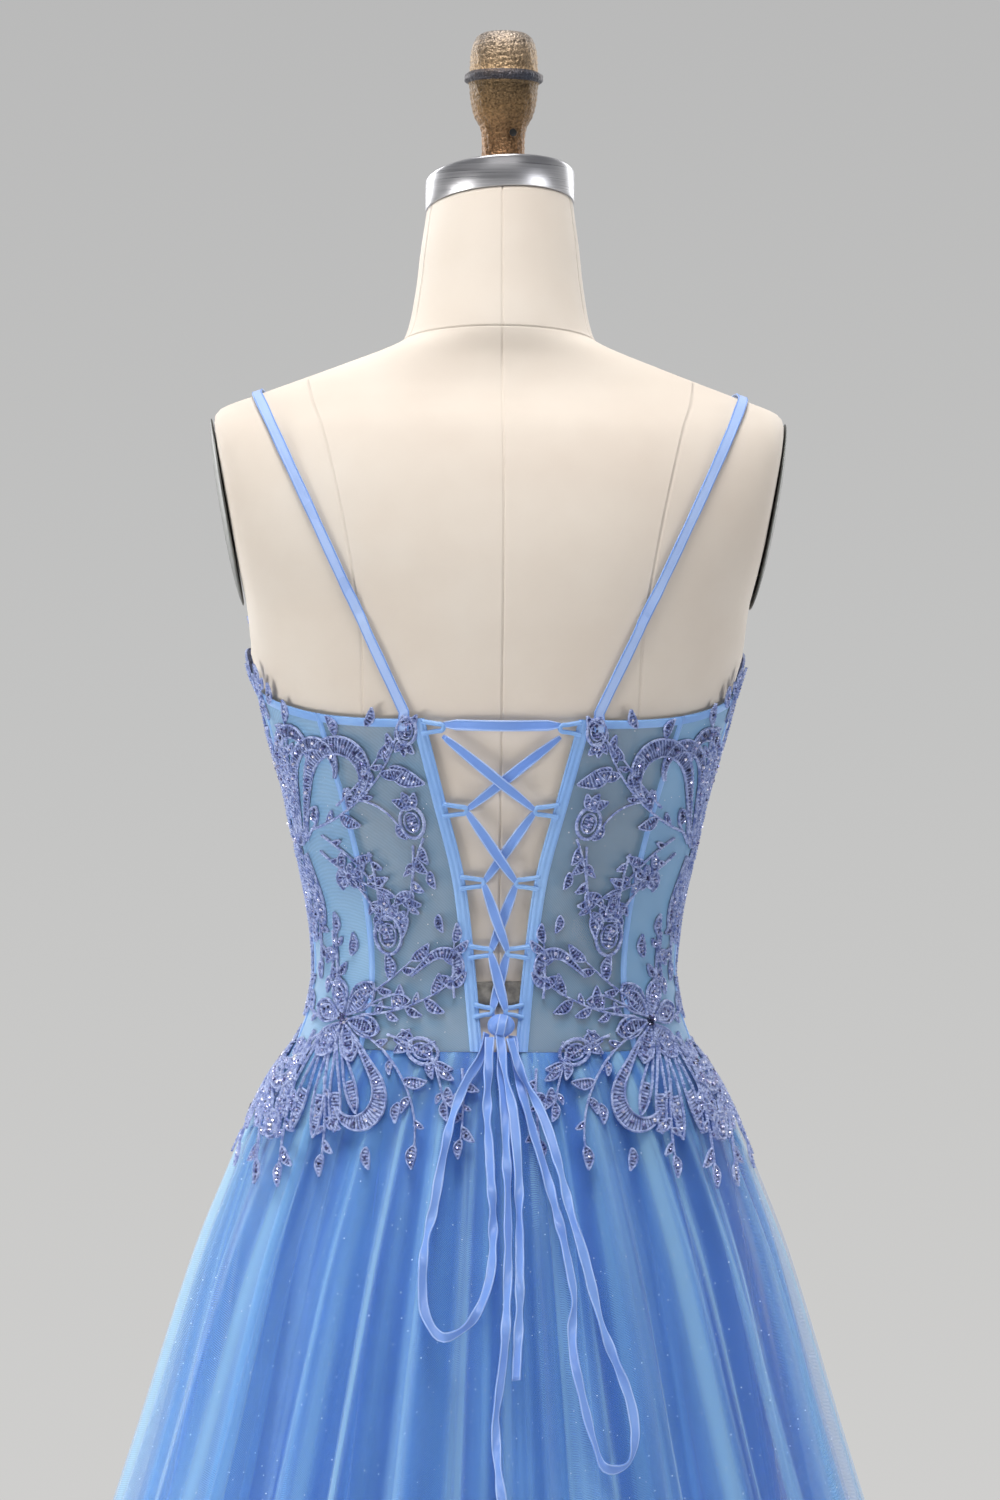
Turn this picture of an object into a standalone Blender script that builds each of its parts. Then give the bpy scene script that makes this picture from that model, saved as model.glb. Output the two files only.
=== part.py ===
"""Prom dress with a laced back, worn by a limbless dress form on its stand.

Metres, +Z up. The laced back faces -Y, the front faces +Y and the floor is z = 0.
A turn is an angle round the body: 0 at the centre back, 90 at +X, 180 at the centre front.
"""
import math

import bmesh
import bpy
from mathutils import Vector, geometry
from mathutils.bvhtree import BVHTree

# Main heights
SEAM_Z = 1.022
FORM_BOTTOM_Z = 0.800

# Gaps and cloth walls, measured level outwards from the form's skin
GAP = 0.0003
BODICE_IN = 0.0022
BODICE_OUT = 0.0040
TULLE_OUT = 0.0044
LINING_OUT = 0.0024
SKIRT_WALL = 0.0015
LACE_OUT = 0.0016
LACE_THICK = 0.0013
SATIN_THICKER = 0.0002

# Ribbons
STRAP_WIDTH = 0.007
RIBBON_WIDTH = 0.007
RIBBON_THICK = 0.0010
BONING_WIDTH = 0.006
PLACKET_WIDTH = 0.008
CORD_WIDTH = 0.006

# Gores and folds
TULLE_GORES = 6
GORE_TURN = -17.0
FOLD_SWAY = 1.1
FOLDS_PER_GORE = 5
POINTS_PER_FOLD = 4
LINING_GORES = 4
LINING_COLUMNS = 9

# Form: z, half width, back depth, front depth, squareness, tilt in degrees, centre y
FORM_ROWS = (
    (0.800, 0.1500, 0.1060, 0.0980, 2.15, 0.0, 0.000),
    (0.860, 0.1615, 0.1160, 0.1030, 2.15, 0.0, 0.000),
    (0.920, 0.1570, 0.1120, 0.1020, 2.15, 0.0, 0.000),
    (0.980, 0.1400, 0.0990, 0.0980, 2.15, 0.0, 0.000),
    (1.022, 0.1280, 0.0890, 0.0930, 2.20, 0.0, 0.000),
    (1.046, 0.1198, 0.0825, 0.0893, 2.20, 0.0, 0.000),
    (1.072, 0.1162, 0.0790, 0.0870, 2.20, 0.0, 0.000),
    (1.109, 0.1195, 0.0800, 0.0890, 2.20, 0.0, 0.000),
    (1.150, 0.1280, 0.0848, 0.0938, 2.20, 0.0, 0.000),
    (1.195, 0.1380, 0.0920, 0.1000, 2.20, 0.0, 0.000),
    (1.218, 0.1446, 0.0956, 0.1032, 2.20, 0.0, 0.000),
    (1.239, 0.1505, 0.0990, 0.1060, 2.20, 0.0, 0.000),
    (1.258, 0.1563, 0.1012, 0.1058, 2.20, 0.0, 0.000),
    (1.280, 0.1630, 0.1040, 0.1045, 2.20, 0.0, 0.000),
    (1.310, 0.1720, 0.1070, 0.0980, 2.20, 0.0, 0.000),
    (1.350, 0.1920, 0.1070, 0.0880, 2.25, 1.0, 0.000),
    (1.390, 0.2040, 0.0990, 0.0760, 2.30, 3.0, 0.000),
    (1.420, 0.2050, 0.0840, 0.0620, 2.30, 5.0, 0.000),
    (1.438, 0.1920, 0.0680, 0.0520, 2.20, 6.0, 0.000),
    (1.452, 0.1560, 0.0590, 0.0520, 2.10, 7.0, 0.000),
    (1.468, 0.1120, 0.0560, 0.0560, 2.05, 8.0, 0.001),
    (1.484, 0.0700, 0.0580, 0.0600, 2.00, 8.0, 0.001),
    (1.492, 0.0625, 0.0570, 0.0580, 2.00, 8.0, 0.001),
    (1.520, 0.0565, 0.0530, 0.0530, 2.00, 9.0, 0.005),
    (1.550, 0.0530, 0.0510, 0.0510, 2.00, 10.0, 0.010),
    (1.579, 0.0490, 0.0490, 0.0490, 2.00, 11.0, 0.015),
)
FORM_COLUMNS = 26

# Bust: two soft mounds of the form, shaped by the cups' princess seams
BUST_Z = 1.250
BUST_TURN = 139.0
BUST_SPREAD = 30.0
BUST_RISE = 0.020
BUST_ABOVE = 0.050
BUST_BELOW = 0.045

# Armholes: a flat cut that leans outwards towards the shoulder
ARM_CUT_FROM = 1.285
ARM_CUT_Z = 1.310
ARM_CUT_X = 0.1680
ARM_CUT_LEAN = 0.180
ARM_PLATE_Z = 1.374
ARM_PLATE_HEIGHT = 0.128
ARM_PLATE_DEPTH = 0.098
ARM_PLATE_THICK = 0.005

# Skirt tulle below the seam: z, growth at the side, at the back, at the front, fold depth
TULLE_ROWS = (
    (1.022, 0.000, 0.000, 0.000, 0.000),
    (1.002, 0.015, 0.013, 0.011, 0.003),
    (0.978, 0.0275, 0.026, 0.022, 0.0065),
    (0.942, 0.043, 0.043, 0.037, 0.011),
    (0.880, 0.0675, 0.071, 0.063, 0.016),
    (0.757, 0.106, 0.120, 0.112, 0.025),
    (0.550, 0.173, 0.196, 0.188, 0.035),
    (0.016, 0.347, 0.385, 0.378, 0.050),
)

# Skirt lining: z, growth at the side, at the back, at the front, wave depth
LINING_ROWS = (
    (1.022, 0.000, 0.000, 0.000, 0.000),
    (0.981, 0.015, 0.0155, 0.012, 0.000),
    (0.942, 0.0265, 0.0255, 0.021, 0.000),
    (0.897, 0.037, 0.036, 0.031, 0.001),
    (0.717, 0.065, 0.067, 0.063, 0.006),
    (0.032, 0.180, 0.205, 0.198, 0.020),
)
LINING_WAVES = 9

# Top edge of the bodice: turn from the centre back, z
TOP_EDGE = (
    (0.0, 1.2390),
    (56.0, 1.2390),
    (90.0, 1.2600),
    (115.0, 1.2850),
    (138.0, 1.3180),
    (150.0, 1.3140),
    (166.0, 1.2930),
    (180.0, 1.2840),
)

# Lacing opening: share of the bodice's height, half the gap
OPENING_ROWS = (
    (0.00, 0.0120),
    (0.28, 0.0175),
    (0.52, 0.0243),
    (0.76, 0.0375),
    (1.00, 0.0510),
)

# Seams between the bodice panels: share of the height, back, side and front seam in degrees
SEAM_ROWS = (
    (0.00, 52.0, 84.0, 141.0),
    (0.50, 54.5, 84.0, 140.0),
    (1.00, 60.0, 82.0, 139.0),
)
BACK_SHARES = (0.0, 0.07, 0.15, 0.25, 0.38, 0.56, 0.78, 1.0)
FRONT_SHARES = (0.0, 0.07, 0.15, 0.25, 0.38, 0.52, 0.62, 0.71, 0.79, 0.88, 1.0)

# Lacing loops: z, distance of the tip from the centre line
LOOP_ROWS = (
    (1.2315, 0.0373),
    (1.1780, 0.0220),
    (1.1310, 0.0105),
    (1.0860, 0.0055),
    (1.0480, 0.0045),
)
LOOP_CORD = 0.0026
LOOP_SPREAD = 0.0045
LOOP_PINCH = 0.0018
LOOP_ROUND = 0.0020
TAPE_WIDTH = 0.0022
LOOP_OUT = (0.0016, 0.0036)
LACE_LEVEL = 0.0048
CROSS_RISE = 0.0025
STRAND_STEPS = 6
PINCHED_WIDTH = 0.0022
BELOW_BAR = 0.0055
BAR_RISE = 0.0020
BAR_END_WIDTH = 0.0030

# Knot of the bow: half width, half height and half depth, height, distance out of the form's skin
# The lacing's ends under the knot: distance from the centre line, z, width
KNOT_SIZE = (0.0085, 0.0075, 0.0065)
KNOT_Z = 1.0385
KNOT_OUT = 0.0118
KNOT_TUCK = (0.0030, 1.0385, 0.0028)

# Free ribbons: x, z, distance of the ribbon's middle from the dress
NEAR = 0.0060
OVER = 0.0126
BOW_LOOP_LEFT = (
    (-0.0080, 1.0342, NEAR), (-0.0130, 1.0190, NEAR), (-0.0215, 1.0050, NEAR), (-0.0295, 0.9860, NEAR),
    (-0.0350, 0.9680, NEAR), (-0.0400, 0.9450, NEAR), (-0.0460, 0.9100, NEAR), (-0.0510, 0.8870, NEAR),
    (-0.0535, 0.8660, NEAR), (-0.0530, 0.8450, NEAR), (-0.0490, 0.8280, NEAR), (-0.0400, 0.8195, NEAR),
    (-0.0300, 0.8220, NEAR), (-0.0205, 0.8320, NEAR), (-0.0125, 0.8460, NEAR), (-0.0075, 0.8640, NEAR),
    (-0.0055, 0.8850, NEAR), (-0.0060, 0.9150, NEAR), (-0.0075, 0.9500, NEAR), (-0.0090, 0.9850, NEAR),
    (-0.0080, 1.0080, 0.0090), (-0.0060, 1.0322, OVER),
)
BOW_LOOP_RIGHT = (
    (0.0065, 1.0315, OVER), (0.0120, 1.0160, OVER), (0.0190, 1.0000, OVER), (0.0300, 0.9760, OVER),
    (0.0380, 0.9480, OVER), (0.0460, 0.9150, OVER), (0.0560, 0.8830, 0.0090), (0.0625, 0.8580, NEAR),
    (0.0700, 0.8300, NEAR), (0.0830, 0.7970, NEAR), (0.0895, 0.7720, NEAR), (0.0885, 0.7520, NEAR),
    (0.0810, 0.7390, NEAR), (0.0715, 0.7385, NEAR), (0.0640, 0.7510, NEAR), (0.0570, 0.7760, NEAR),
    (0.0500, 0.8080, NEAR), (0.0475, 0.8300, NEAR), (0.0495, 0.8500, NEAR), (0.0465, 0.8740, NEAR),
    (0.0420, 0.8960, NEAR), (0.0365, 0.9200, NEAR), (0.0270, 0.9530, NEAR), (0.0200, 0.9780, NEAR),
    (0.0140, 1.0020, NEAR), (0.0110, 1.0180, NEAR), (0.0085, 1.0326, NEAR),
)
TAIL_LONG = (
    (0.0000, 1.0306, NEAR), (0.0010, 1.0100, NEAR), (0.0030, 0.9850, NEAR), (0.0040, 0.9430, NEAR),
    (0.0040, 0.8970, NEAR), (0.0030, 0.8630, NEAR), (0.0000, 0.8300, NEAR), (-0.0040, 0.8030, NEAR),
    (-0.0035, 0.7830, NEAR), (-0.0010, 0.7570, NEAR), (0.0030, 0.7250, NEAR), (0.0055, 0.6900, NEAR),
    (0.0045, 0.6550, NEAR), (0.0020, 0.6250, NEAR), (0.0010, 0.6000, NEAR),
)
TAIL_SHORT = (
    (0.0003, 1.0331, OVER), (0.0035, 1.0080, OVER), (0.0080, 0.9850, 0.0110), (0.0110, 0.9430, NEAR),
    (0.0112, 0.8970, NEAR), (0.0105, 0.8630, NEAR), (0.0085, 0.8240, NEAR),
)
CORD_STEP = 0.0180

# Bow loops as they hang: the height that they hang from, their shares of the drawn drop and spread
HANG_TOP = 1.0200
DROP_LEFT = 0.853
DROP_RIGHT = 0.891
BOW_SPREAD = 0.89

# Strap: half distance between the straps at the back, over the shoulder and at the front
STRAP_BACK_X = 0.0613
STRAP_LEAN = 0.471
STRAP_TOP_X = 0.1600
STRAP_FRONT_X = 0.0980
STRAP_TOP_SHARE = 0.56
STRAP_SAMPLES = 90
STRAP_PASSES = 5
STRAP_SLACK = 0.0007
STRAP_LIFT = 0.0008
STRAP_BLEND = 3
STRAP_THICK = 0.0012
STRAP_CLEAR = 0.0016
STRAP_AXIS_Z = 1.300
STRAP_BACK_Y = 0.0955
STRAP_FRONT_Y = 0.1085
STRAP_FRONT_TURN = 138.0
STRAP_REACH = 0.400

# Cap, finial and stand: radius, z
CAP_RADIUS = 0.0498
CAP_HEIGHT = 0.0215
CAP_TILT = 11.0
NECK_TOP = (0.0, 0.015, 1.579)
FINIAL_X = 0.002
FINIAL_ROWS = (
    (0.0146, 1.6360), (0.0192, 1.6450), (0.0222, 1.6560), (0.0228, 1.6610), (0.0264, 1.6640),
    (0.0264, 1.6680), (0.0230, 1.6710), (0.0220, 1.6850), (0.0190, 1.6935), (0.0125, 1.6975),
)
BASE_ROWS = ((0.200, 0.000), (0.205, 0.004), (0.203, 0.010), (0.190, 0.014), (0.060, 0.022), (0.030, 0.034))
POLE_RADIUS = 0.016
BASE_TOP_Z = 0.036
FLANGE_RADIUS = 0.045
FLANGE_HEIGHT = 0.006

# Lace sprays, from the middle of each motif's foot
# Rows: stem's end u, v, bend, leaves, leaf length
STEM_WIDTH = 0.0028
LEAF_WIDTH = 0.42
MERGE = 0.0003
FLAT_BEND = 0.00010
LONGEST_EDGE = 0.016
SPRAY_BACK = (
    (-0.020, -0.054, 0.22, 3, 0.018),
    (0.012, -0.050, -0.20, 3, 0.018),
    (0.002, -0.086, 0.12, 3, 0.018),
)
SPRAY_HIP = (
    (-0.042, 0.046, 0.22, 2, 0.021),
    (-0.058, 0.006, 0.20, 2, 0.021),
    (-0.048, -0.040, 0.20, 2, 0.021),
    (-0.006, -0.070, 0.16, 2, 0.021),
    (0.040, -0.056, -0.18, 1, 0.021),
    (0.026, 0.054, -0.22, 1, 0.021),
)
SPRAY_SIDE = (
    (0.010, 0.050, 0.20, 3, 0.018),
    (-0.004, -0.064, 0.20, 4, 0.018),
)
SPRAY_FRONT = (
    (-0.028, 0.028, 0.22, 2, 0.018),
    (0.028, 0.018, -0.22, 2, 0.018),
    (0.006, -0.088, 0.14, 4, 0.018),
)
SPRAY_FRONT_HIP = (
    (-0.050, 0.030, 0.22, 2, 0.021),
    (-0.046, -0.044, 0.20, 2, 0.021),
    (0.006, -0.068, 0.16, 2, 0.021),
    (0.046, -0.046, -0.18, 2, 0.021),
    (0.034, 0.046, -0.22, 2, 0.021),
)
PETALS = 5


# Reading a table
def read_row(rows, key):
    """The row's values at a key between two rows, on a smooth curve through all the rows."""
    falling = rows[0][0] > rows[-1][0]
    ordered = rows[::-1] if falling else rows
    key = min(max(key, ordered[0][0]), ordered[-1][0])
    place = 0
    while place < len(ordered) - 2 and ordered[place + 1][0] < key:
        place += 1
    low, high = ordered[place], ordered[place + 1]
    before = ordered[place - 1] if place > 0 else low
    after = ordered[place + 2] if place + 2 < len(ordered) else high
    width = high[0] - low[0]
    share = (key - low[0]) / width
    values = []
    for column in range(1, len(low)):
        slope_low = (high[column] - before[column]) / (high[0] - before[0]) * width
        slope_high = (after[column] - low[column]) / (after[0] - low[0]) * width
        values.append(hermite(low[column], high[column], slope_low, slope_high, share))
    return values


def hermite(low, high, slope_low, slope_high, share):
    square = share * share
    cube = square * share
    ends = low * (2 * cube - 3 * square + 1) + high * (3 * square - 2 * cube)
    return ends + slope_low * (cube - 2 * square + share) + slope_high * (cube - square)


def smooth_route(route, step):
    """Points a step apart on a smooth curve through the route's own points."""
    fine = []
    for place in range(len(route) - 1):
        low, high = Vector(route[place]), Vector(route[place + 1])
        before = Vector(route[place - 1]) if place > 0 else low
        after = Vector(route[place + 2]) if place + 2 < len(route) else high
        for tenth in range(10):
            fine.append(hermite(low, high, (high - before) / 2, (after - low) / 2, tenth / 10))
    fine.append(Vector(route[-1]))
    length = sum((b - a).length for a, b in zip(fine, fine[1:]))
    count = max(2, round(length / step))
    points = [fine[0]]
    walked = 0.0
    for a, b in zip(fine, fine[1:]):
        stretch = (b - a).length
        while len(points) < count and walked + stretch >= length * len(points) / count:
            share = (length * len(points) / count - walked) / stretch
            points.append(a.lerp(b, share))
        walked += stretch
    points.append(fine[-1])
    return points


# Surfaces of the form and the dress
def oval_radius(turn, half_width, back, front, squareness):
    across = abs(math.sin(turn)) / half_width
    along = abs(math.cos(turn)) / (back if math.cos(turn) > 0 else front)
    return (across ** squareness + along ** squareness) ** (-1 / squareness)


def bust_rise(turn, z):
    away = (abs(math.degrees(turn)) - BUST_TURN) / BUST_SPREAD
    height = (z - BUST_Z) / (BUST_ABOVE if z > BUST_Z else BUST_BELOW)
    return BUST_RISE * math.exp(-away * away - height * height)


def arm_cut(z):
    return ARM_CUT_X + ARM_CUT_LEAN * (z - ARM_CUT_Z)


def wrap(turn):
    return math.atan2(math.sin(turn), math.cos(turn))


def skin_radius(turn, z):
    half_width, back, front, squareness = read_row(FORM_ROWS, z)[:4]
    turn = wrap(turn)
    return oval_radius(turn, half_width, back, front, squareness) + bust_rise(turn, z)


def growth(rows, turn, z):
    side, back, front = read_row(rows, z)[:3]
    middle = back if math.cos(turn) > 0 else front
    return side * math.sin(turn) ** 2 + middle * math.cos(turn) ** 2


def dress_radius(turn, z):
    """Radius of the dress's outside, over the ridges of the folds."""
    if z >= SEAM_Z:
        return skin_radius(turn, z)
    return skin_radius(turn, SEAM_Z) + growth(TULLE_ROWS, turn, z)


def lining_radius(turn, z):
    wave = read_row(LINING_ROWS, z)[3]
    shape = 0.5 - 0.5 * math.cos(LINING_WAVES * turn)
    return skin_radius(turn, SEAM_Z) + growth(LINING_ROWS, turn, z) - wave * shape


def surface_point(radius_of, turn, z, out):
    """A point of a level section, moved out square to the section."""
    small = 0.002
    here = radius_of(turn, z)
    slope = (radius_of(turn + small, z) - radius_of(turn - small, z)) / (2 * small)
    outward = Vector((math.sin(turn), -math.cos(turn), 0))
    along = Vector((math.cos(turn), math.sin(turn), 0))
    normal = (outward * here - along * slope).normalized()
    return Vector((here * math.sin(turn), -here * math.cos(turn), z)) + normal * out


def skin_point(turn, z, out=0.0):
    return surface_point(skin_radius, turn, z, out)


def dress_point(turn, z, out=0.0):
    """A point out of the dress's outside, over the bodice wall or the skirt's ridges."""
    return surface_point(dress_radius, turn, z, out + (BODICE_OUT if z >= SEAM_Z else TULLE_OUT))


def turn_at(x, z, radius_of=dress_radius):
    """The turn at the back where the section has this x."""
    low, high = -math.pi / 2, math.pi / 2
    for _ in range(40):
        middle = (low + high) / 2
        if radius_of(middle, z) * math.sin(middle) < x:
            low = middle
        else:
            high = middle
    return (low + high) / 2


# Making solids
def material(name, color, roughness, metallic=0.0):
    made = bpy.data.materials.get(name)
    if made is None:
        made = bpy.data.materials.new(name)
        made.use_nodes = True
        shader = made.node_tree.nodes["Principled BSDF"]
        shader.inputs["Base Color"].default_value = (*color, 1.0)
        shader.inputs["Roughness"].default_value = roughness
        shader.inputs["Metallic"].default_value = metallic
        made.diffuse_color = (*color, 1.0)
    return made


def add_object(name, points, faces, look, smooth=True):
    mesh = bpy.data.meshes.new(name)
    mesh.from_pydata([tuple(point) for point in points], [], faces)
    shape = bmesh.new()
    shape.from_mesh(mesh)
    bmesh.ops.triangulate(shape, faces=shape.faces)
    bmesh.ops.recalc_face_normals(shape, faces=shape.faces)
    shape.to_mesh(mesh)
    shape.free()
    if smooth:
        mesh.shade_smooth()
        mesh.set_sharp_from_angle(angle=math.radians(40))
    mesh.materials.append(look())
    placed = bpy.data.objects.new(name, mesh)
    bpy.context.collection.objects.link(placed)
    return placed


def add_rings(name, rings, look):
    """A closed solid through rings with the same number of points, capped at both ends."""
    count = len(rings[0])
    points = [point for ring in rings for point in ring]
    faces = [list(range(count))[::-1], list(range(len(points) - count, len(points)))]
    for level in range(len(rings) - 1):
        low = level * count
        for column in range(count):
            after = (column + 1) % count
            faces.append((low + column, low + after, low + count + after, low + count + column))
    return add_object(name, points, faces, look)


def add_wall(name, outer, inner, look):
    """A closed wall between an outer and an inner grid of points, given as rows."""
    rows, columns = len(outer), len(outer[0])
    points = [point for row in outer for point in row] + [point for row in inner for point in row]
    back = rows * columns
    faces = []
    for row in range(rows - 1):
        for column in range(columns - 1):
            corner = row * columns + column
            quad = (corner, corner + 1, corner + columns + 1, corner + columns)
            faces.append(quad)
            faces.append(tuple(back + index for index in reversed(quad)))
    rim = [column for column in range(columns)]
    rim += [row * columns + columns - 1 for row in range(1, rows)]
    rim += [(rows - 1) * columns + column for column in range(columns - 2, -1, -1)]
    rim += [row * columns for row in range(rows - 2, 0, -1)]
    for here, after in zip(rim, rim[1:] + rim[:1]):
        faces.append((after, here, back + here, back + after))
    return add_object(name, points, faces, look)


def add_ribbon(name, middles, outwards, widths, thickness, look):
    """A flat ribbon along its middle points, with its face square to the outward directions."""
    rings = []
    for place, middle in enumerate(middles):
        before = middles[max(place - 1, 0)]
        after = middles[min(place + 1, len(middles) - 1)]
        along = (after - before).normalized()
        side = along.cross(outwards[place]).normalized() * widths[place] / 2
        lift = outwards[place] * thickness / 2
        low, high = middle - lift, middle + lift
        rings.append([low - side, low + side, high + side, high - side])
    return add_rings(name, rings, look)


def circle(centre, radius, segments, tilt=0.0):
    """A ring of points; a tilt in degrees raises its back edge."""
    rise = math.tan(math.radians(tilt))
    ring = []
    for step in range(segments):
        angle = math.tau * step / segments
        x, y = radius * math.cos(angle), radius * math.sin(angle)
        ring.append(Vector((centre[0] + x, centre[1] + y, centre[2] - y * rise)))
    return ring


# Looks
def linen():
    return material("linen", (0.80, 0.73, 0.62), 0.85)


def aluminium():
    return material("aluminium", (0.62, 0.62, 0.64), 0.32, 0.95)


def antique_gold():
    return material("antique_gold", (0.42, 0.30, 0.16), 0.42, 0.85)


def dark_steel():
    return material("dark_steel", (0.16, 0.17, 0.18), 0.40, 0.80)


def blue_net():
    return material("blue_net", (0.27, 0.40, 0.47), 0.70)


def blue_satin():
    return material("blue_satin", (0.20, 0.36, 0.78), 0.35)


def blue_tulle():
    return material("blue_tulle", (0.28, 0.47, 0.86), 0.60)


def lace_thread():
    return material("lace_thread", (0.24, 0.28, 0.58), 0.60)


# Form and stand
def form_ring(z):
    tilt, centre_y = read_row(FORM_ROWS, z)[4:6]
    rise = math.tan(math.radians(tilt))
    ring = []
    for column in range(FORM_COLUMNS):
        turn = math.tau * column / FORM_COLUMNS
        radius = skin_radius(turn, z)
        if z > ARM_CUT_FROM and abs(math.sin(turn)) > 0.3:
            cut = arm_cut(z + radius * math.cos(turn) * rise)
            radius = min(radius, cut / abs(math.sin(turn)))
        x, y = radius * math.sin(turn), -radius * math.cos(turn)
        ring.append(Vector((x, y + centre_y, z - y * rise)))
    return ring


def make_form():
    return add_rings("form_torso", [form_ring(row[0]) for row in FORM_ROWS], linen)


def make_arm_plates():
    lean = math.atan(ARM_CUT_LEAN)
    for name, side in (("form_arm_plate_left", -1), ("form_arm_plate_right", 1)):
        up = Vector((side * math.sin(lean), 0, math.cos(lean)))
        outward = Vector((side * math.cos(lean), 0, -math.sin(lean)))
        centre = Vector((side * arm_cut(ARM_PLATE_Z), 0.004, ARM_PLATE_Z)) + outward * GAP
        rings = []
        for depth, share in ((0.0, 1.0), (0.7, 1.0), (1.0, 0.93)):
            ring = []
            for step in range(16):
                angle = side * math.tau * step / 16
                flat = Vector((0, 1, 0)) * math.cos(angle) * ARM_PLATE_DEPTH / 2 * share
                tall = up * math.sin(angle) * ARM_PLATE_HEIGHT / 2 * share
                ring.append(centre + flat + tall + outward * ARM_PLATE_THICK * depth)
            rings.append(ring)
        add_rings(name, rings, dark_steel)


def make_cap_and_finial():
    x, y, z = NECK_TOP
    levels = ((GAP, 1.0), (CAP_HEIGHT * 0.85, 1.0), (CAP_HEIGHT * 0.96, 0.97), (CAP_HEIGHT, 0.90))
    rings = [circle((x, y, z + rise), CAP_RADIUS * share, 28, CAP_TILT) for rise, share in levels]
    add_rings("form_neck_cap", rings, aluminium)
    foot = circle((FINIAL_X, y, z + CAP_HEIGHT + GAP), FINIAL_ROWS[0][0], 16, CAP_TILT)
    stem = [foot] + [circle((FINIAL_X, y, level), radius, 16) for radius, level in FINIAL_ROWS]
    add_rings("form_finial", stem, antique_gold)


def make_stand():
    add_rings("stand_base", [circle((0, 0, z), radius, 24) for radius, z in BASE_ROWS], dark_steel)
    top = FORM_BOTTOM_Z - GAP
    levels = (
        (POLE_RADIUS, BASE_ROWS[-1][1] + GAP),
        (POLE_RADIUS, top - 2 * FLANGE_HEIGHT),
        (FLANGE_RADIUS, top - FLANGE_HEIGHT),
        (FLANGE_RADIUS, top),
    )
    add_rings("stand_pole", [circle((0, 0, z), radius, 16) for radius, z in levels], dark_steel)


# Bodice
def top_edge(turn):
    return read_row(TOP_EDGE, abs(math.degrees(wrap(turn))))[0]


def bodice_z(turn, share):
    return SEAM_Z + share * (top_edge(turn) - SEAM_Z)


def opening_turn(share):
    """Turn of the lacing opening's edge at this share of the bodice's height."""
    half_gap = read_row(OPENING_ROWS, share)[0]
    return turn_at(half_gap, bodice_z(0, share), skin_radius)


def seam_turn(share, seam):
    return math.radians(read_row(SEAM_ROWS, share)[seam])


def strip_edges(edge_of, half_width):
    """Two edges at each side of a line on the bodice, given as functions of the height's share."""
    def shifted(share, side):
        turn = edge_of(share)
        return turn + side * half_width / skin_radius(turn, bodice_z(turn, share))
    return (lambda share: shifted(share, -1)), (lambda share: shifted(share, 1))


def add_bodice_piece(name, left, right, columns, look, side=1, thick=0.0, shares=BACK_SHARES):
    """A piece of the bodice wall between two edges; side -1 mirrors it to the left half."""
    outer, inner = [], []
    for share in shares:
        low, high = left(share), right(share)
        outs, ins = [], []
        for column in range(columns + 1):
            turn = side * (low + (high - low) * column / columns)
            z = bodice_z(turn, share)
            outs.append(skin_point(turn, z, BODICE_OUT + thick))
            ins.append(skin_point(turn, z, BODICE_IN))
        outer.append(outs)
        inner.append(ins)
    return add_wall(name, outer, inner, look)


def make_bodice():
    lines = [lambda share, seam=seam: seam_turn(share, seam) for seam in range(3)]
    seams = [strip_edges(line, BONING_WIDTH / 2) for line in lines]
    clear = [strip_edges(line, BONING_WIDTH / 2 + GAP) for line in lines]
    band = strip_edges(opening_turn, PLACKET_WIDTH)
    band_clear = strip_edges(opening_turn, PLACKET_WIDTH + GAP)
    boning = ("boning_back", "boning_side", "boning_front")
    for word, side in (("left", -1), ("right", 1)):
        add_bodice_piece(f"placket_{word}", opening_turn, band[1], 1, blue_satin, side, SATIN_THICKER)
        add_bodice_piece(f"bodice_back_{word}", band_clear[1], clear[0][0], 4, blue_net, side)
        add_bodice_piece(f"bodice_side_back_{word}", clear[0][1], clear[1][0], 3, blue_net, side)
        name = f"bodice_side_front_{word}"
        add_bodice_piece(name, clear[1][1], clear[2][0], 6, blue_net, side, 0.0, FRONT_SHARES)
        for seam, boning_name in enumerate(boning):
            name = f"{boning_name}_{word}"
            shares = FRONT_SHARES if seam == 2 else BACK_SHARES
            add_bodice_piece(name, *seams[seam], 1, blue_satin, side, SATIN_THICKER, shares)
    right = clear[2][1]

    def left(share):
        return math.tau - right(share)

    add_bodice_piece("bodice_front", right, left, 8, blue_net, 1, 0.0, FRONT_SHARES)


# Skirt
def fold_tables():
    """Share of the circle where each fold starts, and each fold's depth."""
    count = TULLE_GORES * FOLDS_PER_GORE
    widths = [1 + 0.28 * math.sin(2.4 * fold) + 0.14 * math.sin(5.1 * fold + 1) for fold in range(count)]
    starts = [0.0]
    for width in widths:
        starts.append(starts[-1] + width / sum(widths))
    depths = [0.78 + 0.22 * math.sin(1.9 * fold + 0.6) for fold in range(count)]
    return starts, depths


def fold_start(starts, fold, z):
    sway = FOLD_SWAY * math.sin(2.1 * fold + 3.2 * z) if fold % (len(starts) - 1) else 0.0
    return math.tau * starts[fold] + math.radians(GORE_TURN + sway)


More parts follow.
